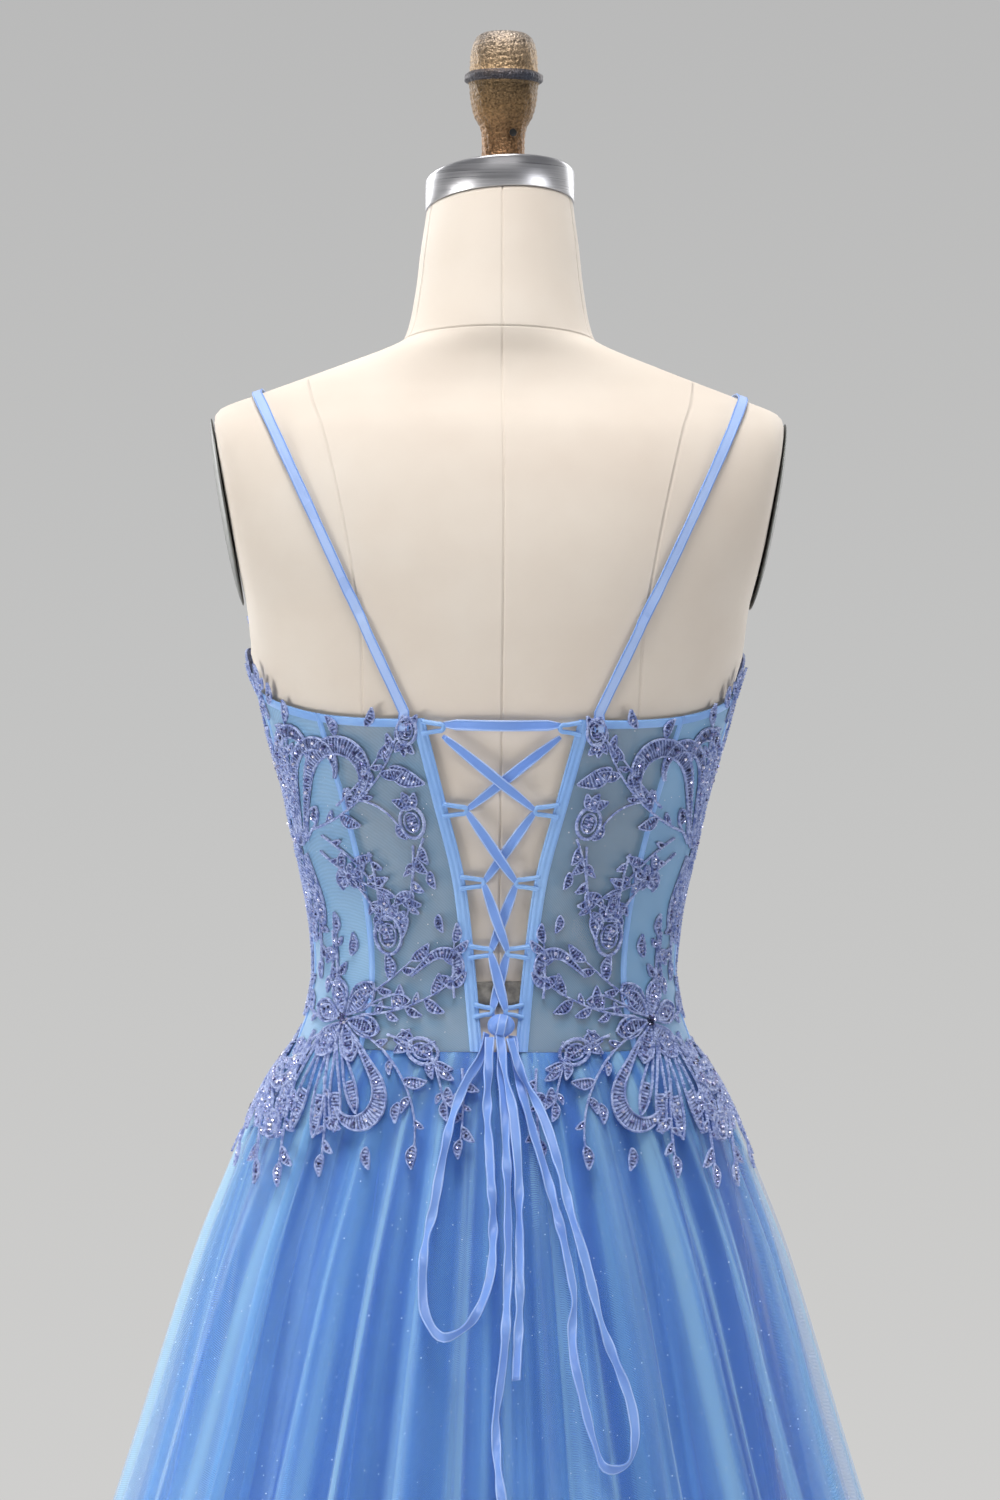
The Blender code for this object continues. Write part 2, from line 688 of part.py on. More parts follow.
def make_tulle():
    starts, depths = fold_tables()
    for gore in range(TULLE_GORES):
        outer, inner = [], []
        for z, _, _, _, depth in TULLE_ROWS:
            z = z - GAP if z == SEAM_Z else z
            outs, ins = [], []
            for place in range(FOLDS_PER_GORE * POINTS_PER_FOLD + 1):
                fold = gore * FOLDS_PER_GORE + min(place // POINTS_PER_FOLD, FOLDS_PER_GORE - 1)
                share = place / POINTS_PER_FOLD - (fold - gore * FOLDS_PER_GORE)
                low, high = fold_start(starts, fold, z), fold_start(starts, fold + 1, z)
                turn = low + (high - low) * share
                radius = dress_radius(turn, z)
                ends = {0: 1, FOLDS_PER_GORE * POINTS_PER_FOLD: -1}
                turn += ends.get(place, 0) * GAP / 2 / radius
                trough = depth * depths[fold] * (0.5 - 0.5 * math.cos(math.tau * share))
                outs.append(dress_point(turn, z, -trough))
                ins.append(dress_point(turn, z, -trough - SKIRT_WALL))
            outer.append(outs)
            inner.append(ins)
        add_wall(f"skirt_tulle_{gore + 1}", outer, inner, blue_tulle)


def make_lining():
    for gore in range(LINING_GORES):
        outer, inner = [], []
        for row in LINING_ROWS:
            z = row[0] - GAP if row[0] == SEAM_Z else row[0]
            outs, ins = [], []
            for column in range(LINING_COLUMNS + 1):
                turn = math.tau * (gore + column / LINING_COLUMNS) / LINING_GORES
                ends = {0: 1, LINING_COLUMNS: -1}
                turn += ends.get(column, 0) * GAP / 2 / lining_radius(turn, z)
                outs.append(surface_point(lining_radius, turn, z, LINING_OUT))
                ins.append(surface_point(lining_radius, turn, z, LINING_OUT - SKIRT_WALL))
            outer.append(outs)
            inner.append(ins)
        add_wall(f"skirt_lining_{gore + 1}", outer, inner, blue_satin)


# Straps
def thin_out(points, slack):
    """Leaves out points that lie within the slack of the straight line between those kept."""
    start, end = points[0], points[-1]
    furthest, place = 0.0, 0
    for number, point in enumerate(points[1:-1], 1):
        nearest, _ = geometry.intersect_point_line(point, start, end)
        if (point - nearest).length > furthest:
            furthest, place = (point - nearest).length, number
    if furthest < slack:
        return [start, end]
    return thin_out(points[:place + 1], slack)[:-1] + thin_out(points[place:], slack)


def strap_x(share, z):
    """Distance of the strap from the centre line: straight up the back, then a curve down the front."""
    if share < STRAP_TOP_SHARE:
        return min(STRAP_BACK_X + STRAP_LEAN * (z - top_edge(0)), STRAP_TOP_X)
    fall = (share - STRAP_TOP_SHARE) / (1 - STRAP_TOP_SHARE)
    return STRAP_TOP_X + (STRAP_FRONT_X - STRAP_TOP_X) * fall * fall * (3 - 2 * fall)


def make_straps(torso):
    """Straps on the form, from the back's top edge over the shoulders to the cups."""
    tree = BVHTree.FromObject(torso, bpy.context.evaluated_depsgraph_get())
    low = math.pi - math.atan2(top_edge(0) + STRAP_LIFT - STRAP_AXIS_Z, STRAP_BACK_Y)
    front_z = top_edge(math.radians(STRAP_FRONT_TURN)) + STRAP_LIFT
    high = math.atan2(front_z - STRAP_AXIS_Z, STRAP_FRONT_Y)
    for word, side in (("left", -1), ("right", 1)):
        spots, normals = [], []
        for place in range(STRAP_SAMPLES + 1):
            share = place / STRAP_SAMPLES
            angle = low + (high - low) * share
            inward = Vector((0, -math.cos(angle), -math.sin(angle)))
            z = STRAP_AXIS_Z
            for _ in range(STRAP_PASSES):
                start = Vector((side * strap_x(share, z), 0, STRAP_AXIS_Z)) - inward * STRAP_REACH
                spot, normal, _, _ = tree.ray_cast(start, inward)
                z = spot.z
            spots.append(spot)
            normals.append(normal)
        middles, outwards = [], []
        for spot in thin_out(spots, STRAP_SLACK):
            place = spots.index(spot)
            near = normals[max(place - STRAP_BLEND, 0):place + STRAP_BLEND + 1]
            along = spots[min(place + 1, STRAP_SAMPLES)] - spots[max(place - 1, 0)]
            outward = sum(near, Vector())
            outward = (outward - along * outward.dot(along) / along.length_squared).normalized()
            middles.append(spot + outward * (STRAP_CLEAR + STRAP_THICK / 2))
            outwards.append(outward)
        add_ribbon(f"strap_{word}", middles, outwards, [STRAP_WIDTH] * len(middles), STRAP_THICK, blue_satin)


# Lacing
def lacing_point(x, z, out):
    turn = turn_at(x, z, skin_radius)
    return skin_point(turn, z, out)


def half_gap(z):
    return read_row(OPENING_ROWS, (z - SEAM_Z) / (top_edge(0) - SEAM_Z))[0]


def make_loops():
    """Loop tapes: a narrow tape along each edge of the opening, with five loops in one piece with it."""
    def tape_x(z):
        return half_gap(z) - 2 * GAP - TAPE_WIDTH / 2

    heights = [bodice_z(0, share) for share in BACK_SHARES]
    outlines = [band_outline([Vector((tape_x(z), z)) for z in heights], TAPE_WIDTH)]
    for z, tip in LOOP_ROWS:
        root = tape_x(z)
        leg = [(root, LOOP_SPREAD), (tip + LOOP_ROUND, LOOP_PINCH)]
        curve = leg + [(tip, 0.0)] + [(x, -rise) for x, rise in leg[::-1]]
        outlines.append(band_outline([Vector((x, z + rise)) for x, rise in curve], LOOP_CORD))
    for word, side in (("left", -1), ("right", 1)):
        def place(u, v, out, side=side):
            return lacing_point(side * u, v, out)

        add_relief(f"lacing_loops_{word}", outlines, place, LOOP_OUT, blue_satin)


def lacing_strand(start, end, over, steps):
    """Points of one strand between two loop tips, with its width; it narrows at each loop."""
    rows = []
    for step in range(steps):
        share = step / STRAND_STEPS
        x = start[0] + (end[0] - start[0]) * share
        z = start[1] + (end[1] - start[1]) * share
        swell = math.sin(math.pi * share)
        level = LACE_LEVEL + (CROSS_RISE * swell ** 0.4 if over else 0.0)
        width = PINCHED_WIDTH + (RIBBON_WIDTH - PINCHED_WIDTH) * swell ** 0.7
        rows.append((lacing_point(x, z, level), width))
    return rows


def make_lacing():
    for word, first_side in (("a", -1), ("b", 1)):
        side = first_side
        rows = []
        tips = []
        for z, tip in LOOP_ROWS:
            tips.append((side * tip, z if tips else z - BELOW_BAR))
            side = -side
        for place in range(len(tips) - 1):
            over = tips[place][0] < tips[place + 1][0]
            steps = STRAND_STEPS + (place == len(tips) - 2)
            rows += lacing_strand(tips[place], tips[place + 1], over, steps)
        tuck_x, tuck_z, tuck_width = KNOT_TUCK
        end_side = 1 if tips[-1][0] > 0 else -1
        rows.append((lacing_point(end_side * tuck_x, tuck_z, LACE_LEVEL), tuck_width))
        middles = [row[0] for row in rows]
        outwards = [Vector((point.x * 0.6, point.y, 0)).normalized() for point in middles]
        widths = [row[1] for row in rows]
        add_ribbon(f"lacing_ribbon_{word}", middles, outwards, widths, RIBBON_THICK, blue_satin)
    top_z, tip = LOOP_ROWS[0]
    middles, outwards, widths = [], [], []
    for step in range(9):
        share = step / 8
        point = lacing_point(tip * (2 * share - 1), top_z + BAR_RISE, LACE_LEVEL)
        middles.append(point)
        outwards.append(Vector((point.x * 0.6, point.y, 0)).normalized())
        fullness = min(1, 3 * math.sin(math.pi * share))
        widths.append(BAR_END_WIDTH + (RIBBON_WIDTH - BAR_END_WIDTH) * fullness)
    add_ribbon("lacing_bar", middles, outwards, widths, RIBBON_THICK, blue_satin)


def make_knot():
    centre = lacing_point(0.001, KNOT_Z, KNOT_OUT)
    wide, tall, deep = KNOT_SIZE
    rings = []
    for step in range(1, 6):
        angle = math.pi * step / 6
        ring = []
        for side in range(10):
            round_angle = math.tau * side / 10
            out = math.sin(angle)
            across = wide * out * math.cos(round_angle)
            inward = deep * out * math.sin(round_angle)
            ring.append(centre + Vector((across, inward, -tall * math.cos(angle))))
        rings.append(ring)
    add_rings("bow_knot", rings, blue_satin)


def hung(route, drop):
    """A loop's route with its part under the knot drawn up and in."""
    return [(x, z, lift) if z > HANG_TOP else (x * BOW_SPREAD, HANG_TOP + (z - HANG_TOP) * drop, lift)
            for x, z, lift in route]


def make_cord(name, route):
    points = []
    for x, z, lift in route:
        turn = turn_at(x, z)
        base = dress_point(turn, z)
        points.append(base + (dress_point(turn, z, 0.001) - base) * lift / 0.001)
    points = smooth_route(points, CORD_STEP)
    curve = bpy.data.curves.new(name, "CURVE")
    curve.dimensions = "3D"
    curve.bevel_depth = CORD_WIDTH / 2
    curve.bevel_resolution = 2
    curve.use_fill_caps = True
    spline = curve.splines.new("POLY")
    spline.points.add(len(points) - 1)
    for spot, point in zip(spline.points, points):
        spot.co = (*point, 1.0)
    curve.materials.append(blue_satin())
    placed = bpy.data.objects.new(name, curve)
    bpy.context.collection.objects.link(placed)


# Lace applique
def heading(angle):
    along = Vector((math.cos(angle), math.sin(angle)))
    return along, Vector((-along.y, along.x))


def leaf_outline(foot, angle, length):
    """A pointed leaf from its foot, as a closed outline."""
    along, across = heading(angle)
    middle = foot + along * length * 0.42
    half = across * length * LEAF_WIDTH / 2
    return [foot - along * STEM_WIDTH * 0.4, middle - half, foot + along * length, middle + half]


def petal_outline(angle, length):
    """A round-ended petal from the flower's middle."""
    along, across = heading(angle)
    shape = ((0.02, 0.06), (0.62, 0.31), (1.00, 0.13))
    right = [along * length * far - across * length * wide for far, wide in shape]
    left = [along * length * far + across * length * wide for far, wide in shape]
    return right + left[::-1]


def band_outline(middles, width):
    """The outline of a cord of this width along its middle points."""
    right, left = [], []
    for place, middle in enumerate(middles):
        run = middles[min(place + 1, len(middles) - 1)] - middles[max(place - 1, 0)]
        side = Vector((-run.y, run.x)).normalized() * width / 2
        right.append(middle - side)
        left.append(middle + side)
    return right + left[::-1]


def stem_outlines(row):
    """A bent stem with its leaves alternating along it and one at its tip."""
    run = Vector(row[:2])
    bend, leaves, leaf_length = row[2:]
    across = Vector((-run.y, run.x)) * bend
    steps = 3
    middles = [run * (step / steps) + across * math.sin(math.pi * step / steps) for step in range(steps + 1)]
    outlines = [band_outline(middles, STEM_WIDTH)]
    for leaf in range(leaves):
        share = 0.42 + 0.42 * leaf / max(leaves - 1, 1)
        place = min(int(share * steps), steps - 1)
        foot = middles[place].lerp(middles[place + 1], share * steps - place)
        step = middles[place + 1] - middles[place]
        turn = math.radians(50) if leaf % 2 else math.radians(-50)
        outlines.append(leaf_outline(foot, math.atan2(step.y, step.x) + turn, leaf_length))
    step = middles[-1] - middles[-2]
    outlines.append(leaf_outline(middles[-1], math.atan2(step.y, step.x), leaf_length))
    return outlines


def scroll_outlines(angle, length):
    """A corded loop, open in its middle: two bands that meet at its foot and its tip."""
    along, across = heading(angle)
    outlines = []
    for side in (-1, 1):
        middles = []
        for step in range(5):
            t = math.pi * (1 - step / 4)
            reach = 0.5 + 0.5 * math.cos(t)
            wide = 0.26 * math.sin(t) * (0.45 + 0.55 * reach)
            middles.append(along * length * reach + across * side * length * wide)
        middles[-1] -= across * side * STEM_WIDTH * 0.4
        outlines.append(band_outline(middles, STEM_WIDTH))
    return outlines


def rim_of(cells):
    """The edges with a face on one side only, each in the direction of its face."""
    used = {edge for cell in cells for edge in zip(cell, cell[1:] + cell[:1])}
    return sorted(edge for edge in used if edge[::-1] not in used)


def merge_near(points, rim):
    """Draws rim points that nearly touch into one, and drops the edges that this closes up."""
    kept = {}
    for index in sorted({index for edge in rim for index in edge}):
        near = [other for other in kept.values() if (points[other] - points[index]).length < MERGE]
        kept[index] = near[0] if near else index
    joined = [(kept[a], kept[b]) for a, b in rim if kept[a] != kept[b]]
    return sorted(edge for edge in set(joined) if edge[::-1] not in joined)


def thin_rim(points, rim):
    """Leaves out rim points that hardly bend it."""
    after, before = {}, {}
    for a, b in rim:
        after.setdefault(a, []).append(b)
        before.setdefault(b, []).append(a)
    for index in sorted(after):
        start, end = before[index][0], after[index][0]
        if len(after[index]) > 1 or start == end:
            continue
        run = points[end] - points[start]
        bend = abs(run.cross(points[index] - points[start])) / run.length
        if bend < FLAT_BEND and run.length < LONGEST_EDGE and end not in after[start]:
            after[start] = [end if other == index else other for other in after[start]]
            before[end] = [start if other == index else other for other in before[end]]
            del after[index], before[index]
    return sorted((a, b) for a in after for b in after[a])


def split_long(points, rim):
    """Halves the rim's long edges, so that the shape can follow a round surface."""
    edges = []
    for a, b in rim:
        if (points[b] - points[a]).length > LONGEST_EDGE:
            points.append((points[a] + points[b]) / 2)
            edges += [(a, len(points) - 1), (len(points) - 1, b)]
        else:
            edges.append((a, b))
    return edges


def within(points, rim, spot):
    """Whether a spot lies inside a closed rim, from the edges crossed on the way out to its right."""
    crossed = 0
    for a, b in rim:
        start, end = points[a], points[b]
        if (start.y > spot.y) != (end.y > spot.y):
            share = (spot.y - start.y) / (end.y - start.y)
            crossed += start.x + (end.x - start.x) * share > spot.x
    return crossed % 2 == 1


def join_outlines(outlines):
    """Joins overlapping flat outlines into one flat shape; gives its points and its triangles."""
    flat, faces = [], []
    for outline in outlines:
        faces.append(list(range(len(flat), len(flat) + len(outline))))
        flat += outline
    spots, _, cells, _, _, sources = geometry.delaunay_2d_cdt(flat, [], faces, 1, 1e-6)
    covered = [list(cell) for cell, source in zip(cells, sources) if source]
    rim = split_long(spots, thin_rim(spots, merge_near(spots, rim_of(covered))))
    used = sorted({index for edge in rim for index in edge})
    place = {index: order for order, index in enumerate(used)}
    corners = [spots[index] for index in used]
    edges = [(place[a], place[b]) for a, b in rim]
    points, _, cells, _, _, _ = geometry.delaunay_2d_cdt(corners, edges, [], 0, 1e-6)
    triangles = []
    for cell in cells:
        middle = sum((points[index] for index in cell), Vector((0, 0))) / 3
        if within(corners, edges, middle):
            triangles.append(list(cell))
    return points, triangles


def add_relief(name, outlines, place, levels, look):
    """Lays a flat shape on a surface as a thin solid; place turns u, v and a level into a point."""
    spots, cells = join_outlines(outlines)
    low, high = levels
    points = [place(spot.x, spot.y, level) for level in (high, low) for spot in spots]
    count = len(spots)
    solid = [tuple(cell) for cell in cells]
    solid += [tuple(count + index for index in reversed(cell)) for cell in cells]
    solid += [(b, a, count + a, count + b) for a, b in rim_of(cells)]
    return add_object(name, points, solid, look, smooth=False)


def add_applique(name, outlines, place_turn, place_z, mirror):
    """Lays a spray on the dress with its middle at a turn in degrees and a height."""
    middle = math.radians(place_turn)

    def place(u, v, out):
        z = place_z + v
        return dress_point(mirror * (middle + u / dress_radius(middle, z)), z, out)

    add_relief(name, outlines, place, (LACE_OUT, LACE_OUT + LACE_THICK), lace_thread)


def spray(rows, flower, scrolls=()):
    """The outlines of one spray: stems with leaves, petals round the middle, and corded loops."""
    outlines = []
    for row in rows:
        outlines += stem_outlines(row)
    for petal in range(PETALS):
        outlines.append(petal_outline(math.tau * petal / PETALS + 0.3, flower))
    for angle, length in scrolls:
        outlines += scroll_outlines(math.radians(angle), length)
    return outlines


def make_applique():
    back_scrolls = ((122, 0.044), (66, 0.042))
    for word, side in (("left", -1), ("right", 1)):
        add_applique(f"applique_back_{word}", spray(SPRAY_BACK, 0.010, back_scrolls), 45.0, 1.190, side)
        add_applique(f"applique_hip_{word}", spray(SPRAY_HIP, 0.026), 57.0, 1.040, side)
        add_applique(f"applique_side_{word}", spray(SPRAY_SIDE, 0.016), 92.0, 1.170, side)
        add_applique(f"applique_front_{word}", spray(SPRAY_FRONT, 0.020), 146.0, 1.225, side)
        add_applique(f"applique_front_hip_{word}", spray(SPRAY_FRONT_HIP, 0.024), 128.0, 1.040, side)


def main():
    for old in list(bpy.data.objects):
        bpy.data.objects.remove(old, do_unlink=True)
    torso = make_form()
    make_arm_plates()
    make_cap_and_finial()
    make_stand()
    make_bodice()
    make_tulle()
    make_lining()
    make_straps(torso)
    make_loops()
    make_lacing()
    make_knot()
    make_cord("bow_loop_left", hung(BOW_LOOP_LEFT, DROP_LEFT))
    make_cord("bow_loop_right", hung(BOW_LOOP_RIGHT, DROP_RIGHT))
    make_cord("tail_long", TAIL_LONG)
    make_cord("tail_short", TAIL_SHORT)
    make_applique()


main()
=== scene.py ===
"""Looks of a prom dress with a laced back, worn by a limbless dress form on its stand."""
import itertools
import math
from functools import partial

import bpy
import numpy as np
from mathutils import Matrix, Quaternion, Vector
from mathutils.bvhtree import BVHTree


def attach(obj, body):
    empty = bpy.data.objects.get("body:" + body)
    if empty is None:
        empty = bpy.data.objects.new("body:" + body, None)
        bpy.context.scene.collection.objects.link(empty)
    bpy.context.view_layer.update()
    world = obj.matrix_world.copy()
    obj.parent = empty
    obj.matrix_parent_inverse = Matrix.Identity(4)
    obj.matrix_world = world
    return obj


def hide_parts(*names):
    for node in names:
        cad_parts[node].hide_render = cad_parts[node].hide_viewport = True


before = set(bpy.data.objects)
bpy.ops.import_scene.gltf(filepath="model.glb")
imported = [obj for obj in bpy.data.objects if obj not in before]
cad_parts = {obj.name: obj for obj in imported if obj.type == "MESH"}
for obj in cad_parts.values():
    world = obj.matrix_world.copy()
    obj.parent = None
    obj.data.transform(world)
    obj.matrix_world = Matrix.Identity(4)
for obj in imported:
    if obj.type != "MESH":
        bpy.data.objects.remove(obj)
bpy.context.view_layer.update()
scene = bpy.context.scene
scene.cycles.transparent_max_bounces = 40
scene.view_settings.view_transform = "Standard"

# Main heights and the cloth's places, as in the solids
SEAM_Z = 1.022
GAP = 0.0003
NET_OUT = 0.0038
BODICE_OUT = 0.0040
TULLE_OUT = 0.0044
LINING_OUT = 0.0024
RIBBON_WIDTH = 0.007
FREE_RIBBON_WIDTH = 0.0062
RIBBON_THICK = 0.0007
STRAP_WIDTH = 0.007
STRAP_THICK = 0.0008
SIDES = (("left", -1), ("right", 1))

# Form: z, half width, back depth, front depth, squareness, tilt in degrees, centre y
FORM_ROWS = (
    (0.800, 0.1500, 0.1060, 0.0980, 2.15, 0.0, 0.000),
    (0.860, 0.1615, 0.1160, 0.1030, 2.15, 0.0, 0.000),
    (0.920, 0.1570, 0.1120, 0.1020, 2.15, 0.0, 0.000),
    (0.980, 0.1400, 0.0990, 0.0980, 2.15, 0.0, 0.000),
    (1.022, 0.1280, 0.0890, 0.0930, 2.20, 0.0, 0.000),
    (1.046, 0.1198, 0.0825, 0.0893, 2.20, 0.0, 0.000),
    (1.072, 0.1162, 0.0790, 0.0870, 2.20, 0.0, 0.000),
    (1.109, 0.1195, 0.0800, 0.0890, 2.20, 0.0, 0.000),
    (1.150, 0.1280, 0.0848, 0.0938, 2.20, 0.0, 0.000),
    (1.195, 0.1380, 0.0920, 0.1000, 2.20, 0.0, 0.000),
    (1.218, 0.1446, 0.0956, 0.1032, 2.20, 0.0, 0.000),
    (1.239, 0.1505, 0.0990, 0.1060, 2.20, 0.0, 0.000),
    (1.258, 0.1563, 0.1012, 0.1058, 2.20, 0.0, 0.000),
    (1.280, 0.1630, 0.1040, 0.1045, 2.20, 0.0, 0.000),
    (1.310, 0.1720, 0.1070, 0.0980, 2.20, 0.0, 0.000),
    (1.350, 0.1920, 0.1070, 0.0880, 2.25, 1.0, 0.000),
    (1.390, 0.2040, 0.0990, 0.0760, 2.30, 3.0, 0.000),
    (1.420, 0.2050, 0.0840, 0.0620, 2.30, 5.0, 0.000),
    (1.438, 0.1920, 0.0680, 0.0520, 2.20, 6.0, 0.000),
    (1.452, 0.1560, 0.0590, 0.0520, 2.10, 7.0, 0.000),
    (1.468, 0.1120, 0.0560, 0.0560, 2.05, 8.0, 0.001),
    (1.484, 0.0700, 0.0580, 0.0600, 2.00, 8.0, 0.001),
    (1.492, 0.0625, 0.0570, 0.0580, 2.00, 8.0, 0.001),
    (1.520, 0.0565, 0.0530, 0.0530, 2.00, 9.0, 0.005),
    (1.550, 0.0530, 0.0510, 0.0510, 2.00, 10.0, 0.010),
    (1.579, 0.0490, 0.0490, 0.0490, 2.00, 11.0, 0.015),
)
BUST_Z = 1.250
BUST_TURN = 139.0
BUST_SPREAD = 30.0
BUST_RISE = 0.020
BUST_ABOVE = 0.050
BUST_BELOW = 0.045

# Armholes and their plates
ARM_CUT_FROM = 1.285
ARM_CUT_Z = 1.310
ARM_CUT_X = 0.1680
ARM_CUT_LEAN = 0.180
ARM_PLATE_Z = 1.374
ARM_PLATE_HEIGHT = 0.128
ARM_PLATE_DEPTH = 0.098
ARM_PLATE_THICK = 0.005
# Rounded face of a plate: share of its thickness, share of its width and height
ARM_PLATE_ROWS = (
    (0.0, 0.97), (0.12, 0.99), (0.22, 0.98), (0.45, 0.90), (0.70, 0.74), (0.88, 0.54), (0.98, 0.30),
    (1.0, 0.04),
)

# Skirt tulle: z, growth at the side, at the back, at the front, fold depth
TULLE_ROWS = (
    (1.022, 0.000, 0.000, 0.000, 0.000),
    (1.002, 0.015, 0.013, 0.011, 0.003),
    (0.978, 0.0275, 0.026, 0.022, 0.0065),
    (0.942, 0.043, 0.043, 0.037, 0.011),
    (0.880, 0.0675, 0.071, 0.063, 0.016),
    (0.757, 0.106, 0.120, 0.112, 0.025),
    (0.550, 0.173, 0.196, 0.188, 0.035),
    (0.016, 0.347, 0.385, 0.378, 0.050),
)
# Skirt lining: z, growth at the side, at the back, at the front, wave depth
LINING_ROWS = (
    (1.022, 0.000, 0.000, 0.000, 0.000),
    (0.981, 0.015, 0.0155, 0.012, 0.000),
    (0.942, 0.0265, 0.0255, 0.021, 0.000),
    (0.897, 0.037, 0.036, 0.031, 0.001),
    (0.717, 0.065, 0.067, 0.063, 0.006),
    (0.032, 0.180, 0.205, 0.198, 0.020),
)
LINING_WAVES = 9

# Top edge of the bodice: turn from the centre back, z
TOP_EDGE = (
    (0.0, 1.2390),
    (56.0, 1.2390),
    (90.0, 1.2600),
    (115.0, 1.2850),
    (138.0, 1.3180),
    (150.0, 1.3140),
    (166.0, 1.2930),
    (180.0, 1.2840),
)
# Lacing opening: share of the bodice's height, half the gap
OPENING_ROWS = ((0.00, 0.0120), (0.28, 0.0175), (0.52, 0.0243), (0.76, 0.0375), (1.00, 0.0510))
# Seams: share of the bodice's height, back, side and front seam in degrees
SEAM_ROWS = ((0.00, 52.0, 84.0, 141.0), (0.50, 54.5, 84.0, 140.0), (1.00, 60.0, 82.0, 139.0))

# Lacing loops: z, distance of the tip from the centre line
LOOP_ROWS = ((1.2315, 0.0373), (1.1780, 0.0220), (1.1310, 0.0105), (1.0860, 0.0055), (1.0480, 0.0045))
LOOP_CORD_RADIUS = 0.00155
LACE_LEVEL = 0.0048
PINCHED_WIDTH = 0.0026
STRAND_STEPS = 26
CROSS_RISE = 0.0025
KNOT_SIZE = (0.0085, 0.0075, 0.0065)
KNOT_Z = 1.0385
KNOT_OUT = 0.0118

# Free ribbons: x, z, distance of the ribbon's middle from the dress
NEAR = 0.0060
OVER = 0.0126
BOW_LOOP_LEFT = (
    (-0.0080, 1.0342, NEAR), (-0.0130, 1.0190, NEAR), (-0.0215, 1.0050, NEAR), (-0.0295, 0.9860, NEAR),
    (-0.0350, 0.9680, NEAR), (-0.0400, 0.9450, NEAR), (-0.0460, 0.9100, NEAR), (-0.0510, 0.8870, NEAR),
    (-0.0535, 0.8660, NEAR), (-0.0530, 0.8450, NEAR), (-0.0490, 0.8280, NEAR), (-0.0400, 0.8195, NEAR),
    (-0.0300, 0.8220, NEAR), (-0.0205, 0.8320, NEAR), (-0.0125, 0.8460, NEAR), (-0.0075, 0.8640, NEAR),
    (-0.0055, 0.8850, NEAR), (-0.0060, 0.9150, NEAR), (-0.0075, 0.9500, NEAR), (-0.0090, 0.9850, NEAR),
    (-0.0080, 1.0080, 0.0090), (-0.0060, 1.0322, OVER),
)
BOW_LOOP_RIGHT = (
    (0.0065, 1.0315, OVER), (0.0120, 1.0160, OVER), (0.0190, 1.0000, OVER), (0.0300, 0.9760, OVER),
    (0.0380, 0.9480, OVER), (0.0460, 0.9150, OVER), (0.0560, 0.8830, 0.0090), (0.0625, 0.8580, NEAR),
    (0.0700, 0.8300, NEAR), (0.0830, 0.7970, NEAR), (0.0895, 0.7720, NEAR), (0.0885, 0.7520, NEAR),
    (0.0810, 0.7390, NEAR), (0.0715, 0.7385, NEAR), (0.0640, 0.7510, NEAR), (0.0570, 0.7760, NEAR),
    (0.0500, 0.8080, NEAR), (0.0475, 0.8300, NEAR), (0.0495, 0.8500, NEAR), (0.0465, 0.8740, NEAR),
    (0.0420, 0.8960, NEAR), (0.0365, 0.9200, NEAR), (0.0270, 0.9530, NEAR), (0.0200, 0.9780, NEAR),
    (0.0140, 1.0020, NEAR), (0.0110, 1.0180, NEAR), (0.0085, 1.0326, NEAR),
)
TAIL_LONG = (
    (0.0000, 1.0306, NEAR), (0.0010, 1.0100, NEAR), (0.0030, 0.9850, NEAR), (0.0040, 0.9430, NEAR),
    (0.0040, 0.8970, NEAR), (0.0030, 0.8630, NEAR), (0.0000, 0.8300, NEAR), (-0.0040, 0.8030, NEAR),
    (-0.0035, 0.7830, NEAR), (-0.0010, 0.7570, NEAR), (0.0030, 0.7250, NEAR), (0.0055, 0.6900, NEAR),
    (0.0045, 0.6550, NEAR), (0.0020, 0.6250, NEAR), (0.0010, 0.6000, NEAR),
)
TAIL_SHORT = (
    (0.0003, 1.0331, OVER), (0.0035, 1.0080, OVER), (0.0080, 0.9850, 0.0110), (0.0110, 0.9430, NEAR),
    (0.0112, 0.8970, NEAR), (0.0105, 0.8630, NEAR), (0.0085, 0.8240, NEAR),
)

# Bow loops as they hang: the height that they hang from, their shares of the drawn drop and spread
HANG_TOP = 1.0200
DROP_LEFT = 0.853
DROP_RIGHT = 0.891
BOW_SPREAD = 0.89

# Straps
STRAP_BACK_X = 0.0613
STRAP_LEAN = 0.471
STRAP_TOP_X = 0.1600
STRAP_FRONT_X = 0.0980
STRAP_TOP_SHARE = 0.56
STRAP_AXIS_Z = 1.300
STRAP_BACK_Y = 0.0955
STRAP_FRONT_Y = 0.1085
STRAP_FRONT_TURN = 138.0
STRAP_LIFT = 0.0022
STRAP_TUCK = 0.012

# Cap, finial and stand; the finial's rows are z, radius and the base's are radius, z
CAP_RADIUS = 0.0498
CAP_TILT = 11.0
NECK_TOP = (0.0, 0.015, 1.579)
FINIAL_X = 0.002
FINIAL_FOOT_Z = 1.600
FINIAL_TOP_Z = 1.6975
COLLAR_Z = 1.6665
COLLAR_HALF_HEIGHT = 0.0036
FINIAL_ROWS = (
    (1.6010, 0.0143), (1.6200, 0.0143), (1.6285, 0.0146), (1.6340, 0.0158), (1.6400, 0.0192),
    (1.6470, 0.0214), (1.6540, 0.0224), (1.6600, 0.0228), (1.6625, 0.0236), (1.6640, 0.0258),
    (1.6660, 0.0264), (1.6680, 0.0262), (1.6695, 0.0240), (1.6710, 0.0230), (1.6760, 0.0226),
    (1.6830, 0.0220), (1.6890, 0.0206), (1.6930, 0.0186), (1.6955, 0.0160), (1.6970, 0.0120),
    (1.6975, 0.0060),
)
FINIAL_HOLE_X = 0.0055
FINIAL_HOLE_Z = 1.6285
